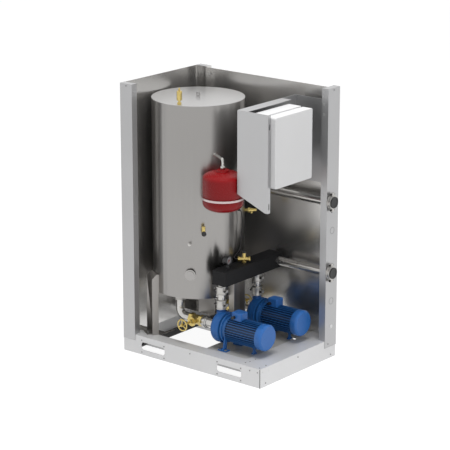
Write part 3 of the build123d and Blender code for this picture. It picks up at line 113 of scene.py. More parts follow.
# %% Lamps
LAMP_SIZE, LAMP_AIM = 3.0, Vector((0, 0, 0.9))
LAMPS = {"top_lamp": ((1.0, -0.7, 5.5), 175), "front_lamp": ((1.5, -6.5, 2.8), 6),
         "side_lamp": ((6.5, -1.5, 2.5), 66)}
for name, (place, power) in LAMPS.items():
    data = bpy.data.lights.new(name, "AREA")
    data.shape, data.size, data.energy = "DISK", LAMP_SIZE, power
    lamp = bpy.data.objects.new(name, data)
    lamp.location = place
    lamp.rotation_euler = (LAMP_AIM - Vector(place)).to_track_quat("-Z", "Y").to_euler()
    lamp.visible_glossy = False
    bpy.context.collection.objects.link(lamp)
    print(name, "watts:", power)

# %% [markdown]
# ## Floor
# The module stands on white paper that runs out of sight. Paper that only lamps light comes out
# grey, so what the camera and mirror-like rays see is mostly an even glow, mixed with enough of a
# matt sheet to keep the module's soft shadow. For all other light it is plain matt paper. It lies
# half a millimetre under the module, so that no two faces share a plane.

# %% A helper for meshes
def mesh_object(name, verts, faces):
    """A flat-shaded mesh in metres, its faces turned outwards, with its object at the origin."""
    mesh = bpy.data.meshes.new(name)
    mesh.from_pydata(verts, [], faces)
    shape = bmesh.new()
    shape.from_mesh(mesh)
    bmesh.ops.recalc_face_normals(shape, faces=shape.faces)
    shape.to_mesh(mesh)
    shape.free()
    mesh.polygons.foreach_set("use_smooth", [False] * len(mesh.polygons))
    mesh.update()
    obj = bpy.data.objects.new(name, mesh)
    bpy.context.collection.objects.link(obj)
    return obj


# %% Paper floor
FLOOR_HALF, FLOOR_Z = 25.0, -0.0005
GLOW_SHARE, GLOW, PAPER = 0.78, 1.19, (0.9, 0.9, 0.9, 1)

paper = bpy.data.materials.new("studio_floor")
paper.use_nodes = True
nodes, links = paper.node_tree.nodes, paper.node_tree.links
nodes.clear()
out, mix = nodes.new("ShaderNodeOutputMaterial"), nodes.new("ShaderNodeMixShader")
share = nodes.new("ShaderNodeMath")
share.operation, share.inputs[1].default_value = "MULTIPLY", GLOW_SHARE
matt, glow = nodes.new("ShaderNodeBsdfDiffuse"), nodes.new("ShaderNodeEmission")
matt.inputs["Color"].default_value = PAPER
glow.inputs["Color"].default_value = WHITE
glow.inputs["Strength"].default_value = GLOW
links.new(seen_rays(nodes, links), share.inputs[0])
links.new(share.outputs[0], mix.inputs["Fac"])
links.new(matt.outputs[0], mix.inputs[1])
links.new(glow.outputs[0], mix.inputs[2])
links.new(mix.outputs[0], out.inputs["Surface"])

corners = [(x * FLOOR_HALF, y * FLOOR_HALF, FLOOR_Z) for x, y in ((-1, -1), (1, -1), (1, 1), (-1, 1))]
floor = mesh_object("floor", corners, [(0, 1, 2, 3)])
floor.data.materials.append(paper)
print("floor metres across:", 2 * FLOOR_HALF)

# %% [markdown]
# ## Finishes
# Every finish here is one of a few kinds: bare sheet, paint, castings, brass, foam and moulded
# plastic. One recipe builds them all: a colour that drifts with a slow noise, a roughness that
# drifts with a fine one, and a bump from the same fine noise for orange peel or casting skin.
# Soil, where a finish has it, is a second colour in patches. The noises read Object coordinates,
# in metres, so their scale is real. Each material could be drawn by hand in its own tree, but one
# recipe keeps them alike, and a finish is then one line of numbers.

# %% Helpers for shader trees
MIX_FACTOR, MIX_A, MIX_B, MIX_RESULT = 0, 6, 7, 2


def noise(nodes, links, place, scale, detail):
    """The value of a noise texture that is read at a place."""
    texture = nodes.new("ShaderNodeTexNoise")
    texture.inputs["Scale"].default_value = scale
    texture.inputs["Detail"].default_value = detail
    links.new(place, texture.inputs["Vector"])
    return texture.outputs["Fac"]


def remap(nodes, links, value, span, target):
    """A value carried from one span to another, and held at the target's ends."""
    node = nodes.new("ShaderNodeMapRange")
    node.inputs["From Min"].default_value, node.inputs["From Max"].default_value = span
    node.inputs["To Min"].default_value, node.inputs["To Max"].default_value = target
    links.new(value, node.inputs["Value"])
    return node.outputs["Result"]


# %% One recipe for every finish
NOISE_SPAN, SOIL_SPAN, BUMP_STRENGTH = (0.3, 0.7), (0.55, 0.75), 0.35
SLOW_DETAIL, SOIL_DETAIL, FINE_DETAIL = 4.0, 6.0, 3.0


def finish(name, color, metallic=0.0, roughness=0.5, drift=0.06, drift_scale=3.0, grain=(1, 1, 1),
           grain_scale=400.0, bump=0.00003, rough_drift=0.08, soil=None, specular=0.5):
    """A procedural finish. grain stretches the fine noise; soil is (colour, amount, scale)."""
    mat = bpy.data.materials.new(name)
    mat.use_nodes = True
    nodes, links = mat.node_tree.nodes, mat.node_tree.links
    shader = nodes["Principled BSDF"]
    shader.inputs["Metallic"].default_value = metallic
    shader.inputs["Specular IOR Level"].default_value = specular
    place = nodes.new("ShaderNodeTexCoord").outputs["Object"]

    ramp = nodes.new("ShaderNodeValToRGB")
    for end, spot, change in zip(ramp.color_ramp.elements, NOISE_SPAN, (1 - drift, 1 + drift)):
        end.position = spot
        end.color = (*[min(1.0, c * change) for c in color], 1)
    links.new(noise(nodes, links, place, drift_scale, SLOW_DETAIL), ramp.inputs["Fac"])
    paint = ramp.outputs["Color"]
    if soil:
        shade, amount, scale = soil
        patches = noise(nodes, links, place, scale, SOIL_DETAIL)
        mix = nodes.new("ShaderNodeMix")
        mix.data_type = "RGBA"
        mix.inputs[MIX_B].default_value = (*shade, 1)
        links.new(remap(nodes, links, patches, SOIL_SPAN, (0.0, amount)), mix.inputs[MIX_FACTOR])
        links.new(paint, mix.inputs[MIX_A])
        paint = mix.outputs[MIX_RESULT]
    links.new(paint, shader.inputs["Base Color"])

    stretch = nodes.new("ShaderNodeMapping")
    stretch.inputs["Scale"].default_value = grain
    links.new(place, stretch.inputs["Vector"])
    fine = noise(nodes, links, stretch.outputs["Vector"], grain_scale, FINE_DETAIL)
    rough = max(0.02, roughness - rough_drift), min(1.0, roughness + rough_drift)
    links.new(remap(nodes, links, fine, NOISE_SPAN, rough), shader.inputs["Roughness"])
    if bump:
        lift = nodes.new("ShaderNodeBump")
        lift.inputs["Strength"].default_value = BUMP_STRENGTH
        lift.inputs["Distance"].default_value = bump
        links.new(fine, lift.inputs["Height"])
        links.new(lift.outputs["Normal"], shader.inputs["Normal"])
    return mat


def make_finishes(recipes):
    made = {name: finish(name, **recipe) for name, recipe in recipes.items()}
    print("finishes:", ", ".join(made))
    return made


# %% [markdown]
# ## Sheet metal
# Nearly everything flat here is bare sheet, and its looks come from what it mirrors. The base is
# pale and half matt. The posts and the cabinet's rack are satin. The walls are brighter rolled
# sheet that mirrors the dark inside of the module, so they come out far darker than their colour.
# The tank is sheet rolled round, with its grain running round it. Only the cabinet is painted, in
# a powder coat with a faint orange peel. A long, thin grain is a noise stretched along one axis.

# %% Finishes of sheets and tank
ROLLED_UP, ROLLED_ROUND = (1.0, 1.0, 0.02), (0.05, 0.05, 1.0)
SHEET = dict(drift=0.02, grain=ROLLED_UP, grain_scale=160.0, bump=0.0, rough_drift=0.015)
FINISHES = make_finishes({
    "steel_light": dict(SHEET, color=(0.74, 0.74, 0.745), metallic=0.3, roughness=0.47),
    "steel_post": dict(SHEET, color=(0.48, 0.48, 0.485), metallic=0.8, roughness=0.34),
    "wall_steel": dict(SHEET, color=(0.68, 0.67, 0.655), metallic=0.94, roughness=0.25,
                       drift_scale=1.4),
    "deck_steel": dict(SHEET, color=(0.58, 0.57, 0.54), metallic=0.3, roughness=0.3, drift=0.04),
    "tank_steel": dict(color=(0.345, 0.335, 0.325), metallic=1.0, roughness=0.28, drift=0.015,
                       drift_scale=2.0, grain=ROLLED_ROUND, grain_scale=60.0, bump=0.0,
                       rough_drift=0.004),
    "cover_steel": dict(color=(0.53, 0.525, 0.52), metallic=0.8, roughness=0.3, drift=0.02,
                        drift_scale=2.0, grain_scale=220.0, bump=0.0, rough_drift=0.02),
    "port_steel": dict(SHEET, color=(0.37, 0.36, 0.35), metallic=1.0, roughness=0.2),
    "rack_grey": dict(SHEET, color=(0.50, 0.50, 0.505), metallic=0.85, roughness=0.36),
    "cabinet_grey": dict(color=(0.70, 0.70, 0.705), roughness=0.4, drift=0.015,
                         grain_scale=260.0, bump=0.00002),
    "clip_zinc": dict(color=(0.55, 0.55, 0.55), metallic=0.85, roughness=0.32),
    "leg_steel": dict(SHEET, color=(0.34, 0.325, 0.31), metallic=0.85, roughness=0.3),
    "plate_zinc": dict(color=(0.5, 0.5, 0.47), metallic=0.8, roughness=0.35, drift=0.1),
    "standoff_dark": dict(color=(0.05, 0.05, 0.05), roughness=0.5),
})

# %% [markdown]
# ## Pipes, castings and brass
# Tube is drawn, so its shine is long and clean. Castings are rougher and duller, with a coarse
# skin. Brass keeps a warm colour that darkens in patches where hands and oil have touched it,
# which is what the soil is for.

# %% Finishes of pipes, castings and fittings
FINISHES.update(make_finishes({
    "pipe_steel": dict(color=(0.56, 0.55, 0.53), metallic=0.95, roughness=0.24, drift=0.05,
                       grain_scale=300.0, bump=0.00001),
    "cast_silver": dict(color=(0.52, 0.51, 0.49), metallic=0.85, roughness=0.34, drift=0.08,
                        grain_scale=500.0, bump=0.00006),
    "ring_zinc": dict(color=(0.60, 0.50, 0.50), metallic=0.8, roughness=0.3),
    "screw_zinc": dict(color=(0.28, 0.28, 0.28), metallic=0.85, roughness=0.35),
    "bolt_black": dict(color=(0.03, 0.025, 0.025), metallic=0.4, roughness=0.4),
    "rotor_steel": dict(color=(0.45, 0.45, 0.44), metallic=0.9, roughness=0.3),
    "brass": dict(color=(0.64, 0.50, 0.18), metallic=0.9, roughness=0.28, drift=0.1,
                  drift_scale=30.0, bump=0.0002, soil=((0.35, 0.25, 0.08), 0.6, 60.0)),
}))

# %% [markdown]
# ## Paint, rubber, foam and plastic
# The vessel and the pumps are sprayed: smooth on the vessel's pressed shells and a little rougher
# over cast iron. A lower specular level keeps the white tent from greying these deep colours. The
# header's insulation is closed-cell foam, nearly black, with a bump of more than a millimetre.

# %% Finishes of paint, rubber, foam and plastic
FINISHES.update(make_finishes({
    "vessel_red": dict(color=(0.245, 0.004, 0.006), roughness=0.25, drift=0.05, specular=0.25,
                       grain_scale=180.0, bump=0.00002),
    "pump_blue": dict(color=(0.02, 0.12, 0.38), roughness=0.35, drift=0.08, drift_scale=12.0,
                      specular=0.35, grain_scale=350.0, bump=0.00005),
    "cover_blue": dict(color=(0.03, 0.145, 0.45), roughness=0.32, drift=0.05, specular=0.35,
                       grain_scale=300.0, bump=0.00002),
    "rubber_black": dict(color=(0.018, 0.018, 0.018), roughness=0.6),
    "foam_black": dict(color=(0.008, 0.008, 0.009), roughness=0.7, specular=0.3, drift=0.2,
                       grain_scale=700.0, bump=0.0012),
    "cap_black": dict(color=(0.015, 0.015, 0.016), roughness=0.4, bump=0.00003),
    "gauge_black": dict(color=(0.02, 0.02, 0.022), roughness=0.35),
    "needle_red": dict(color=(0.22, 0.03, 0.03), roughness=0.4),
    "dial_white": dict(color=(0.24, 0.235, 0.24), roughness=0.25, drift=0.01),
    "tick_black": dict(color=(0.01, 0.01, 0.01), roughness=0.6),
}))

# %% [markdown]
# ## Motor paint with painted shade
# A motor's barrel looks darker between its fins than at their tips, because little light gets down
# there. The rays alone would need many samples to show it on fins this small, so a painted shade goes
# into the paint itself: it is multiplied by a shade that grows from the barrel's surface to the fin
# tips.
# The distance from the shaft comes from Object coordinates. The two pumps stand on either side of
# the middle, so the absolute value of y serves both.

# %% A painted shade by the distance from the shaft
SHAFT_Y, SHAFT_Z, BARREL_R, FIN_TIP_R, BARREL_SHADE = 0.194, 0.265, 0.077, 0.0885, 0.3


# Painted shade: the motor's paint is darkened towards the barrel, down between the fins.
def paint_shade_between_fins(mat):
    nodes, links = mat.node_tree.nodes, mat.node_tree.links
    split, join = nodes.new("ShaderNodeSeparateXYZ"), nodes.new("ShaderNodeCombineXYZ")
    aside, dy, dz = [nodes.new("ShaderNodeMath") for _ in range(3)]
    aside.operation, dy.operation, dz.operation = "ABSOLUTE", "SUBTRACT", "SUBTRACT"
    dy.inputs[1].default_value, dz.inputs[1].default_value = SHAFT_Y, SHAFT_Z
    reach = nodes.new("ShaderNodeVectorMath")
    reach.operation = "LENGTH"
    links.new(nodes.new("ShaderNodeTexCoord").outputs["Object"], split.inputs[0])
    links.new(split.outputs["Y"], aside.inputs[0])
    links.new(aside.outputs[0], dy.inputs[0])
    links.new(split.outputs["Z"], dz.inputs[0])
    links.new(dy.outputs[0], join.inputs["Y"])
    links.new(dz.outputs[0], join.inputs["Z"])
    links.new(join.outputs[0], reach.inputs[0])
    shade = remap(nodes, links, reach.outputs["Value"], (BARREL_R, FIN_TIP_R), (BARREL_SHADE, 1.0))

    base = nodes["Principled BSDF"].inputs["Base Color"]
    mix = nodes.new("ShaderNodeMix")
    mix.data_type, mix.blend_type = "RGBA", "MULTIPLY"
    mix.inputs[MIX_FACTOR].default_value = 1.0
    links.new(base.links[0].from_socket, mix.inputs[MIX_A])
    links.new(shade, mix.inputs[MIX_B])
    links.new(mix.outputs[MIX_RESULT], base)


FINISHES.update(make_finishes({
    "motor_blue": dict(color=(0.02, 0.12, 0.36), roughness=0.4, drift=0.08, drift_scale=12.0,
                       grain_scale=350.0, bump=0.00005),
}))
# The motor paint gets its painted shade between the fins.
paint_shade_between_fins(FINISHES["motor_blue"])

# %% [markdown]
# ## Dressing the CAD nodes
# The record gives each node a material slot. The finish with the slot's name goes on the node,
# apart from a few nodes that look unlike the rest of their slot. A small bevel softens the edges:
# bent sheet and fettled castings never have a knife edge, and the bevel is what catches the
# light. The node's triangles are welded first, because a bevel needs shared edges. Long flat
# sheets and straight pipes get none: their triangles run from end to end, and the bevel's
# hardened normals would streak along them.

# %% Finish and edge softening on every node
EDGE_WIDTH, EDGE_STEPS, EDGE_ANGLE, WELD = 0.0007, 2, radians(35), 0.00001
SLOT_OF = {row["node"]: row["material_slot"] for row in frame["record"]["subparts"]}
OTHER_FINISH = {
    "back_left_post": "wall_steel", "cross_member": "wall_steel", "tank_cover": "cover_steel",
    "door_lock_lower": "cabinet_grey", "door_lock_upper": "cabinet_grey",
    "motor_bodies": "motor_blue", "tank_legs": "leg_steel", "port_cover": "port_steel"}
NO_BEVEL = (
    "front_left_post", "back_left_post", "back_right_post", "left_wall", "back_wall", "front_rail",
    "right_rail", "left_rail", "back_rail", "cabinet_rack", "return_pipe", "supply_pipe")


def soften(obj, width=EDGE_WIDTH):
    weld = obj.modifiers.new("weld", "WELD")
    weld.merge_threshold = WELD
    edge = obj.modifiers.new("edge", "BEVEL")
    edge.width, edge.segments = width, EDGE_STEPS
    edge.limit_method, edge.angle_limit = "ANGLE", EDGE_ANGLE
    edge.harden_normals = True
    edge.use_clamp_overlap = True


for node, obj in frame["nodes"].items():
    obj.data.materials.clear()
    obj.data.materials.append(FINISHES[OTHER_FINISH.get(node, SLOT_OF[node])])
    if node not in NO_BEVEL:
        soften(obj)
print("finished", len(frame["nodes"]), "nodes, with", len(NO_BEVEL), "left unbevelled")

# %% [markdown]
# ## Copies on points
# Screws, knock-outs and clips repeat, each at its own place and turned its own way. One template
# is modelled, and Geometry Nodes puts a copy on every point of a list, with the template's own
# upright laid along the axis that the point carries. Copying one head beats modelling thirty, and
# the list stays readable. The tree realizes its copies and sets their finish, because the export
# takes plain meshes only.

# %% A tree that puts copies on points
def copies_tree(name):
    """The tree, and the identifiers of its named inputs."""
    tree = bpy.data.node_groups.new(name + "_tree", "GeometryNodeTree")
    face = tree.interface
    face.new_socket("Geometry", in_out="INPUT", socket_type="NodeSocketGeometry")
    kinds = {"Template": "Object", "Scale": "Float", "Finish": "Material"}
    inputs = {label: face.new_socket(label, in_out="INPUT", socket_type="NodeSocket" + kind).identifier
              for label, kind in kinds.items()}
    face.new_socket("Geometry", in_out="OUTPUT", socket_type="NodeSocketGeometry")
    add, link = tree.nodes.new, tree.links.new
    start, end = add("NodeGroupInput"), add("NodeGroupOutput")
    to_points, info = add("GeometryNodeMeshToPoints"), add("GeometryNodeObjectInfo")
    attribute, align = add("GeometryNodeInputNamedAttribute"), add("FunctionNodeAlignRotationToVector")
    attribute.data_type, attribute.inputs["Name"].default_value = "FLOAT_VECTOR", "axis"
    align.axis = "Z"
    copies, real = add("GeometryNodeInstanceOnPoints"), add("GeometryNodeRealizeInstances")
    coat = add("GeometryNodeSetMaterial")
    link(start.outputs["Geometry"], to_points.inputs["Mesh"])
    link(start.outputs["Template"], info.inputs["Object"])
    link(attribute.outputs["Attribute"], align.inputs["Vector"])
    link(to_points.outputs[0], copies.inputs["Points"])
    link(info.outputs["Geometry"], copies.inputs["Instance"])
    link(align.outputs["Rotation"], copies.inputs["Rotation"])
    link(start.outputs["Scale"], copies.inputs["Scale"])
    link(copies.outputs["Instances"], real.inputs["Geometry"])
    link(real.outputs["Geometry"], coat.inputs["Geometry"])
    link(start.outputs["Finish"], coat.inputs["Material"])
    link(coat.outputs["Geometry"], end.inputs["Geometry"])
    return tree, inputs


# %% One plain mesh from all the copies
def place_copies(name, template, spots, material, scale=1.0):
    """One mesh with the template at each spot; a spot is a point and an outward axis."""
    points = bpy.data.meshes.new(name + "_points")
    points.from_pydata([point for point, _ in spots], [], [])
    axis = points.attributes.new("axis", "FLOAT_VECTOR", "POINT")
    for i, (_, outward) in enumerate(spots):
        axis.data[i].vector = outward
    holder = bpy.data.objects.new(name, points)
    bpy.context.collection.objects.link(holder)

    modifier = holder.modifiers.new("copies", "NODES")
    modifier.node_group, inputs = copies_tree(name)
    for label, value in (("Template", template), ("Scale", scale), ("Finish", material)):
        modifier[inputs[label]] = value
    bpy.context.view_layer.update()
    evaluated = holder.evaluated_get(bpy.context.evaluated_depsgraph_get())
    mesh = bpy.data.meshes.new_from_object(evaluated)
    mesh.name = name
    holder.modifiers.clear()
    holder.data = mesh
    bpy.data.meshes.remove(points)
    if not mesh.materials:
        mesh.materials.append(material)
    print(name, "copies:", len(spots), "faces:", len(mesh.polygons))
    return holder


# %% [markdown]
# ## Screw heads
# Sheet parts are held by button-head screws: a low dome with a hexagon socket. The head is turned
# work, so it is modelled as a stack of rings from the seat up and down into the socket, where the
# last rings are hexagons. The places were read off the photo, one row for each face of the module.

# %% A stack of rings
def ring_stack(name, rings, segments=36, filled=True):
    """A solid from (radius, height, hexagonal) rings, the last one filled or joined to the first."""
    verts, faces = [], []
    for radius, height, hexed in rings:
        for i in range(segments):
            turn = 2 * pi * i / segments
            reach = radius
            if hexed:
                reach = radius * cos(pi / 6) / cos((turn + pi / 6) % (pi / 3) - pi / 6)
            verts.append((reach * cos(turn), reach * sin(turn), height))
    for k in range(len(rings) - 1 if filled else len(rings)):
        low, high = k * segments, (k + 1) % len(rings) * segments
        for i in range(segments):
            j = (i + 1) % segments
            faces.append((low + i, low + j, high + j, high + i))
    if filled:
        faces.append(tuple((len(rings) - 1) * segments + i for i in range(segments)))
    return mesh_object(name, verts, faces)


# %% Heads on the rails, posts and deck
MM = 0.001
HEAD_RINGS = ((4.7, 0.0, False), (4.7, 1.3, False), (4.1, 2.5, False), (3.0, 3.2, False),
              (2.2, 3.4, False), (2.0, 3.4, True), (2.0, 2.3, True))
FRONT, RIGHT, UP = (0, -1, 0), (1, 0, 0), (0, 0, 1)
FRONT_Y, POST_Y, END_X, POST_X, TOP_Z = -0.415, -0.418, 0.579, 0.582, 0.133
FORK_SLOTS, BESIDE_SLOT = (-0.356, 0.314), 0.101
RAIL_X = [mid + side * BESIDE_SLOT for mid in FORK_SLOTS for side in (-1, 1)]
SCREW_SPOTS = [((x, FRONT_Y, z), FRONT) for x in RAIL_X for z in (0.019, 0.104)]
SCREW_SPOTS += [((x, FRONT_Y, z), FRONT) for x, z in (
    (-0.024, 0.106), (0.491, 0.107), (0.556, 0.107))]
SCREW_SPOTS += [((-0.567, POST_Y, 1.871), FRONT)]
SCREW_SPOTS += [((END_X, y, z), RIGHT) for y, z in (
    (-0.008, 0.107), (-0.359, 0.024), (0.361, 0.022))]
SCREW_SPOTS += [((POST_X, y, z), RIGHT) for y, z in (
    (0.351, 1.871), (0.326, 0.107), (0.347, 1.037), (0.349, 0.546))]
SCREW_SPOTS += [((x, y, TOP_Z), UP) for x, y in (
    (0.558, -0.328), (0.558, -0.396), (0.421, -0.372), (0.431, -0.337), (0.432, -0.281))]

head = ring_stack("head_template", [(r * MM, z * MM, hexed) for r, z, hexed in HEAD_RINGS])
screw_heads = place_copies("screw_heads", head, SCREW_SPOTS, FINISHES["screw_zinc"])
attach(screw_heads, ROOT)

# %% [markdown]
# ## Knock-outs, a plug and edge clips
# The right-hand post carries two pressed knock-outs for cables and one hole closed by a domed
# plastic plug. A knock-out is a disc that is cut nearly all round, so it shows as a thin ring: four
# rings joined end to end. The plug's dome is a quarter of a circle, flattened. Along the posts'
# inner returns sit spring clips, which take the screws of the cladding panels.

# %% Knock-out rings
RING_R, RING_W, RING_H, RING_SUNK = 21.0, 3.0, 0.6, -0.1
RING_SECTION = ((RING_R + RING_W, RING_SUNK), (RING_R + RING_W, RING_H),
                (RING_R, RING_H), (RING_R, RING_SUNK))
ring_spots = [((POST_X, 0.354, z), RIGHT) for z in (0.908, 0.410)]
ring = ring_stack("ring_template", [(r * MM, z * MM, False) for r, z in RING_SECTION],
                  segments=48, filled=False)
knockouts = place_copies("knockouts", ring, ring_spots, FINISHES["screw_zinc"])
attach(knockouts, ROOT)

# %% Plug
PLUG_R, PLUG_H, PLUG_TIP, PLUG_STEPS = 15.0, 6.0, 0.05, 8
plug_turns = [k * pi / 2 / PLUG_STEPS for k in range(PLUG_STEPS)]
plug = ring_stack("plug", [((PLUG_R * cos(a) + PLUG_TIP) * MM, PLUG_H * sin(a) * MM, False)
                           for a in plug_turns], segments=40)
plug_spots = [((POST_X, 0.358, 0.226), RIGHT)]
plug_dome = place_copies("post_plug", plug, plug_spots, FINISHES["cabinet_grey"])
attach(plug_dome, ROOT)


# %% Clips along the posts' inner returns
def box_mesh(name, size):
    """A box that stands on the origin."""
    w, d, h = (v / 2 for v in size)
    verts = [(x, y, z) for x in (-w, w) for y in (-d, d) for z in (0, 2 * h)]
    faces = [(0, 1, 3, 2), (4, 6, 7, 5), (0, 4, 5, 1), (2, 3, 7, 6), (0, 2, 6, 4), (1, 5, 7, 3)]
    return mesh_object(name, verts, faces)


CLIP_SIZE = (0.008, 0.018, 0.004)
LEFT_FLANGE_X, RIGHT_FLANGE_Y, BACK_FLANGE_X = -0.516, 0.290, -0.521
clip_spots = [((0.545, RIGHT_FLANGE_Y, z), FRONT) for z in (
    1.862, 1.832, 1.778, 1.711, 1.222, 1.163)]
clip_spots += [((LEFT_FLANGE_X, -0.392, z), RIGHT) for z in (1.833, 0.988)]
clip_spots += [((BACK_FLANGE_X, 0.395, 1.830), RIGHT)]
clip = box_mesh("clip_template", CLIP_SIZE)
clips = place_copies("edge_clips", clip, clip_spots, FINISHES["clip_zinc"])
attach(clips, ROOT)

# %% [markdown]
# ## Prisms
# Many small parts are plate or bar: an outline cut from sheet, with one thickness. Each could be
# its own cube, scaled, but a prism from an outline also gives webs with a curved edge. Several
# prisms that belong together make one mesh.

# %% Prisms from outlines
def box_outline(u0, u1, v0, v1):
    return [(u0, v0), (u0, v1), (u1, v1), (u1, v0)]


def prism_object(name, prisms, material):
    """One mesh of prisms: each an outline in two axes, lifted between two values of the third."""
    verts, faces = [], []
    for outline, lift, axis in prisms:
        first, count = len(verts), len(outline)
        for level in lift:
            verts += [(level, u, v) if axis == "x" else (u, v, level) for u, v in outline]
        faces.append(tuple(first + i for i in range(count)))
        faces.append(tuple(first + count + i for i in reversed(range(count))))
        for i in range(count):
            j = (i + 1) % count
            faces.append((first + i, first + count + i, first + count + j, first + j))
    obj = mesh_object(name, verts, faces)
    obj.data.materials.append(material)
    print(name, "prisms:", len(prisms), "faces:", len(faces))
    return obj


# %% [markdown]
# ## Pump feet
# The CAD model carries each motor on one full-width web, which is enough for weight and collision.
# The photo shows daylight under the motor: each pump stands on two short legs with a plate, and on
# a slim stand under the fan end. Each is a bent or welded plate, so it is modelled as a few
# prisms. A web's upper edge follows the motor's barrel, worked out from the circle, and its lower
# edge sinks a millimetre into the plate, as a weld would hold it.

# %% One leg and one stand
PUMP_SIDES, DECK_Z, WEB_SUNK, WEB_SEAT_R = (-1, 1), 0.130, 0.001, 0.0855
LEG_PLATE_X, LEG_PLATE_DY, LEG_PLATE_T = (0.120, 0.193), (0.060, 0.103), 0.008
LEG_WEB_X, LEG_WEB_DY = (0.157, 0.165), (0.098, 0.062)
LEG_SEAT_DY = (0.054, 0.060, 0.066, 0.072, 0.077)
STAND_X, STAND_PLATE_HALF, STAND_PLATE_T = 0.353, (0.011, 0.018), 0.006
STAND_HALF_T, STAND_FOOT_HALF, STAND_NECK_HALF, STAND_NECK_Z = 0.006, 0.016, 0.009, 0.022


def seat_z(dy):
    """The height of the barrel's underside, at a distance from the shaft."""
    return SHAFT_Z - (WEB_SEAT_R ** 2 - dy ** 2) ** 0.5


def pump_leg(mid, side):
    near, far = (mid + side * dy for dy in LEG_PLATE_DY)
    plate = box_outline(*LEG_PLATE_X, near, far)
    web_z = DECK_Z + LEG_PLATE_T - WEB_SUNK
    web = [(mid + side * dy, web_z) for dy in LEG_WEB_DY]
    web += [(mid + side * dy, seat_z(dy)) for dy in LEG_SEAT_DY]
    return [(plate, (DECK_Z, DECK_Z + LEG_PLATE_T), "z"), (web, LEG_WEB_X, "x")]


def pump_stand(mid):
    half_x, half_y = STAND_PLATE_HALF
    plate = box_outline(STAND_X - half_x, STAND_X + half_x, mid - half_y, mid + half_y)
    web_z, top = DECK_Z + STAND_PLATE_T - WEB_SUNK, seat_z(STAND_NECK_HALF)
    knee, foot, neck = DECK_Z + STAND_NECK_Z, STAND_FOOT_HALF, STAND_NECK_HALF
    web = [(mid - foot, web_z), (mid + foot, web_z), (mid + neck, knee),
           (mid + neck, top), (mid - neck, top), (mid - neck, knee)]
    return [(plate, (DECK_Z, DECK_Z + STAND_PLATE_T), "z"),
            (web, (STAND_X - STAND_HALF_T, STAND_X + STAND_HALF_T), "x")]


# %% Legs and stands in place of the CAD feet
LEG_EDGE = 0.0012
foot_prisms = []
for pump in PUMP_SIDES:
    for side in (-1, 1):
        foot_prisms += pump_leg(pump * SHAFT_Y, side)
    foot_prisms += pump_stand(pump * SHAFT_Y)
legs = prism_object("pump_legs", foot_prisms, FINISHES["pump_blue"])
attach(legs, ROOT)
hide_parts("pump_feet")
soften(legs, LEG_EDGE)

# %% [markdown]
# ## Casing sleeves and painted shade on the well's edge
# Behind each volute a sleeve runs back over the motor's first flange, so the casing reads as one
# drum. The cross member's down-turned lip lies in shade, and a thin black strip on it is painted
# shade. The sleeve is one ring placed twice; the strip is a single prism.

# %% Sleeves
SLEEVE_X, SLEEVE_LEN, SLEEVE_R, SLEEVE_BORE = 0.0992, 0.0222, 0.1072, 0.0870
SLEEVE_SECTION = ((SLEEVE_R, 0.0), (SLEEVE_R, SLEEVE_LEN), (SLEEVE_BORE, SLEEVE_LEN),
                  (SLEEVE_BORE, 0.0))
sleeve = ring_stack("sleeve_template", [(r, z, False) for r, z in SLEEVE_SECTION],
                    segments=72, filled=False)
sleeve_spots = [((SLEEVE_X, side * SHAFT_Y, SHAFT_Z), RIGHT) for side in PUMP_SIDES]
sleeves = place_copies("casing_sleeves", sleeve, sleeve_spots, FINISHES["pump_blue"])
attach(sleeves, ROOT)

# %% Painted shade strip on the cross member's lip
# A thin black strip on the lip's face: painted shade where the lip lies in shadow.
LIP_X, SHADE_STRIP_T, SHADE_STRIP_Y, SHADE_STRIP_Z = -0.368, 0.0022, (-0.312, 0.405), (0.0955, 0.1315)
lip_shade_outline = box_outline(LIP_X, LIP_X + SHADE_STRIP_T, *SHADE_STRIP_Y)
lip_shade = prism_object("well_trim", [(lip_shade_outline, SHADE_STRIP_Z, "z")], FINISHES["rubber_black"])
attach(lip_shade, ROOT)

# %% [markdown]
# ## Post caps and the base's corner
# The posts are lipped channels. Their tops are closed by small folded plates that keep rain and
# fingers out, and a black bead of sealant fills the joint between the front rail and the end rail.
# A cap is cut a little smaller than its post, so the post's own edge stays visible round it.

# %% Caps on the three posts
LEFT_X, OUTER_Y, POST_D = -0.621, 0.418, 0.050
CAP_Z, CAP_T, CAP_GAP = 1.8832, 0.0026, 0.0032
POST_BOXES = ((LEFT_X, LEFT_FLANGE_X, -OUTER_Y, POST_D - OUTER_Y),
              (LEFT_X, BACK_FLANGE_X, OUTER_Y - POST_D, OUTER_Y),
              (END_X - POST_D, POST_X, RIGHT_FLANGE_Y, OUTER_Y))
cap_prisms = [(box_outline(x0 + CAP_GAP, x1 - CAP_GAP, y0 + CAP_GAP, y1 - CAP_GAP),
               (CAP_Z, CAP_Z + CAP_T), "z") for x0, x1, y0, y1 in POST_BOXES]
caps = prism_object("post_caps", cap_prisms, FINISHES["steel_post"])
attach(caps, ROOT)

# %% Bead in the corner joint
BEAD_X, BEAD_Y, BEAD_Z = (0.5735, 0.5780), (-0.4160, -0.4146), (0.001, 0.132)
bead_outline = box_outline(*BEAD_X, *BEAD_Y)
bead = prism_object("corner_bead", [(bead_outline, BEAD_Z, "z")], FINISHES["rubber_black"])
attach(bead, ROOT)

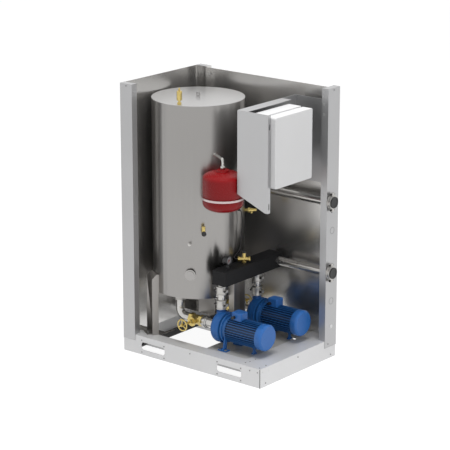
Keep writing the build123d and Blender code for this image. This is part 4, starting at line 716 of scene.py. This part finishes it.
# %% [markdown]
# ## Gauge dial
# The pressure gauge has a pale dial behind its bezel, with a scale over 270 degrees that starts at
# the lower left, where the needle rests. The dial is a thin disc with a bevelled rim. Each tick is
# a bar that points at the middle, with every fifth one longer, and all are prisms in one mesh.
# Printed ticks could be a texture, but bars this size stay sharp when the camera comes close.

# %% Dial
GAUGE_Y, GAUGE_Z, DIAL_X = -0.157, 0.725, 0.1025
DIAL_RINGS = ((0.0272, 0.0), (0.0272, 0.0004), (0.0266, 0.0006))
dial = ring_stack("dial_template", [(r, z, False) for r, z in DIAL_RINGS], segments=48)
dial_spots = [((DIAL_X, GAUGE_Y, GAUGE_Z), RIGHT)]
dial_face = place_copies("gauge_dial", dial, dial_spots, FINISHES["dial_white"])
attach(dial_face, ROOT)

# %% Ticks round the scale
SCALE_START, SWEEP, TICK_STEPS, MAJOR_EVERY = 225, 270, 30, 5
TICK_OUTER, MAJOR_INNER, MINOR_INNER = 0.0235, 0.0185, 0.0205
MAJOR_HALF, MINOR_HALF, TICK_LIFT = 0.0005, 0.00028, (DIAL_X + 0.0006, DIAL_X + 0.0009)
tick_prisms = []
for step in range(TICK_STEPS + 1):
    turn = radians(SCALE_START - SWEEP * step / TICK_STEPS)
    inner, half = (MINOR_INNER, MINOR_HALF) if step % MAJOR_EVERY else (MAJOR_INNER, MAJOR_HALF)
    bar = [(GAUGE_Y + r * cos(turn) - w * sin(turn), GAUGE_Z + r * sin(turn) + w * cos(turn))
           for r, w in box_outline(inner, TICK_OUTER, -half, half)]
    tick_prisms.append((bar, TICK_LIFT, "x"))
ticks = prism_object("dial_ticks", tick_prisms, FINISHES["tick_black"])
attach(ticks, ROOT)

# %% [markdown]
# ## Removing the templates
# The templates have done their work and go, so that no loose piece lies at the origin.

# %% Remove the templates
templates = (head, ring, plug, clip, sleeve, dial)
for template in templates:
    bpy.data.objects.remove(template)
print("templates removed:", len(templates))
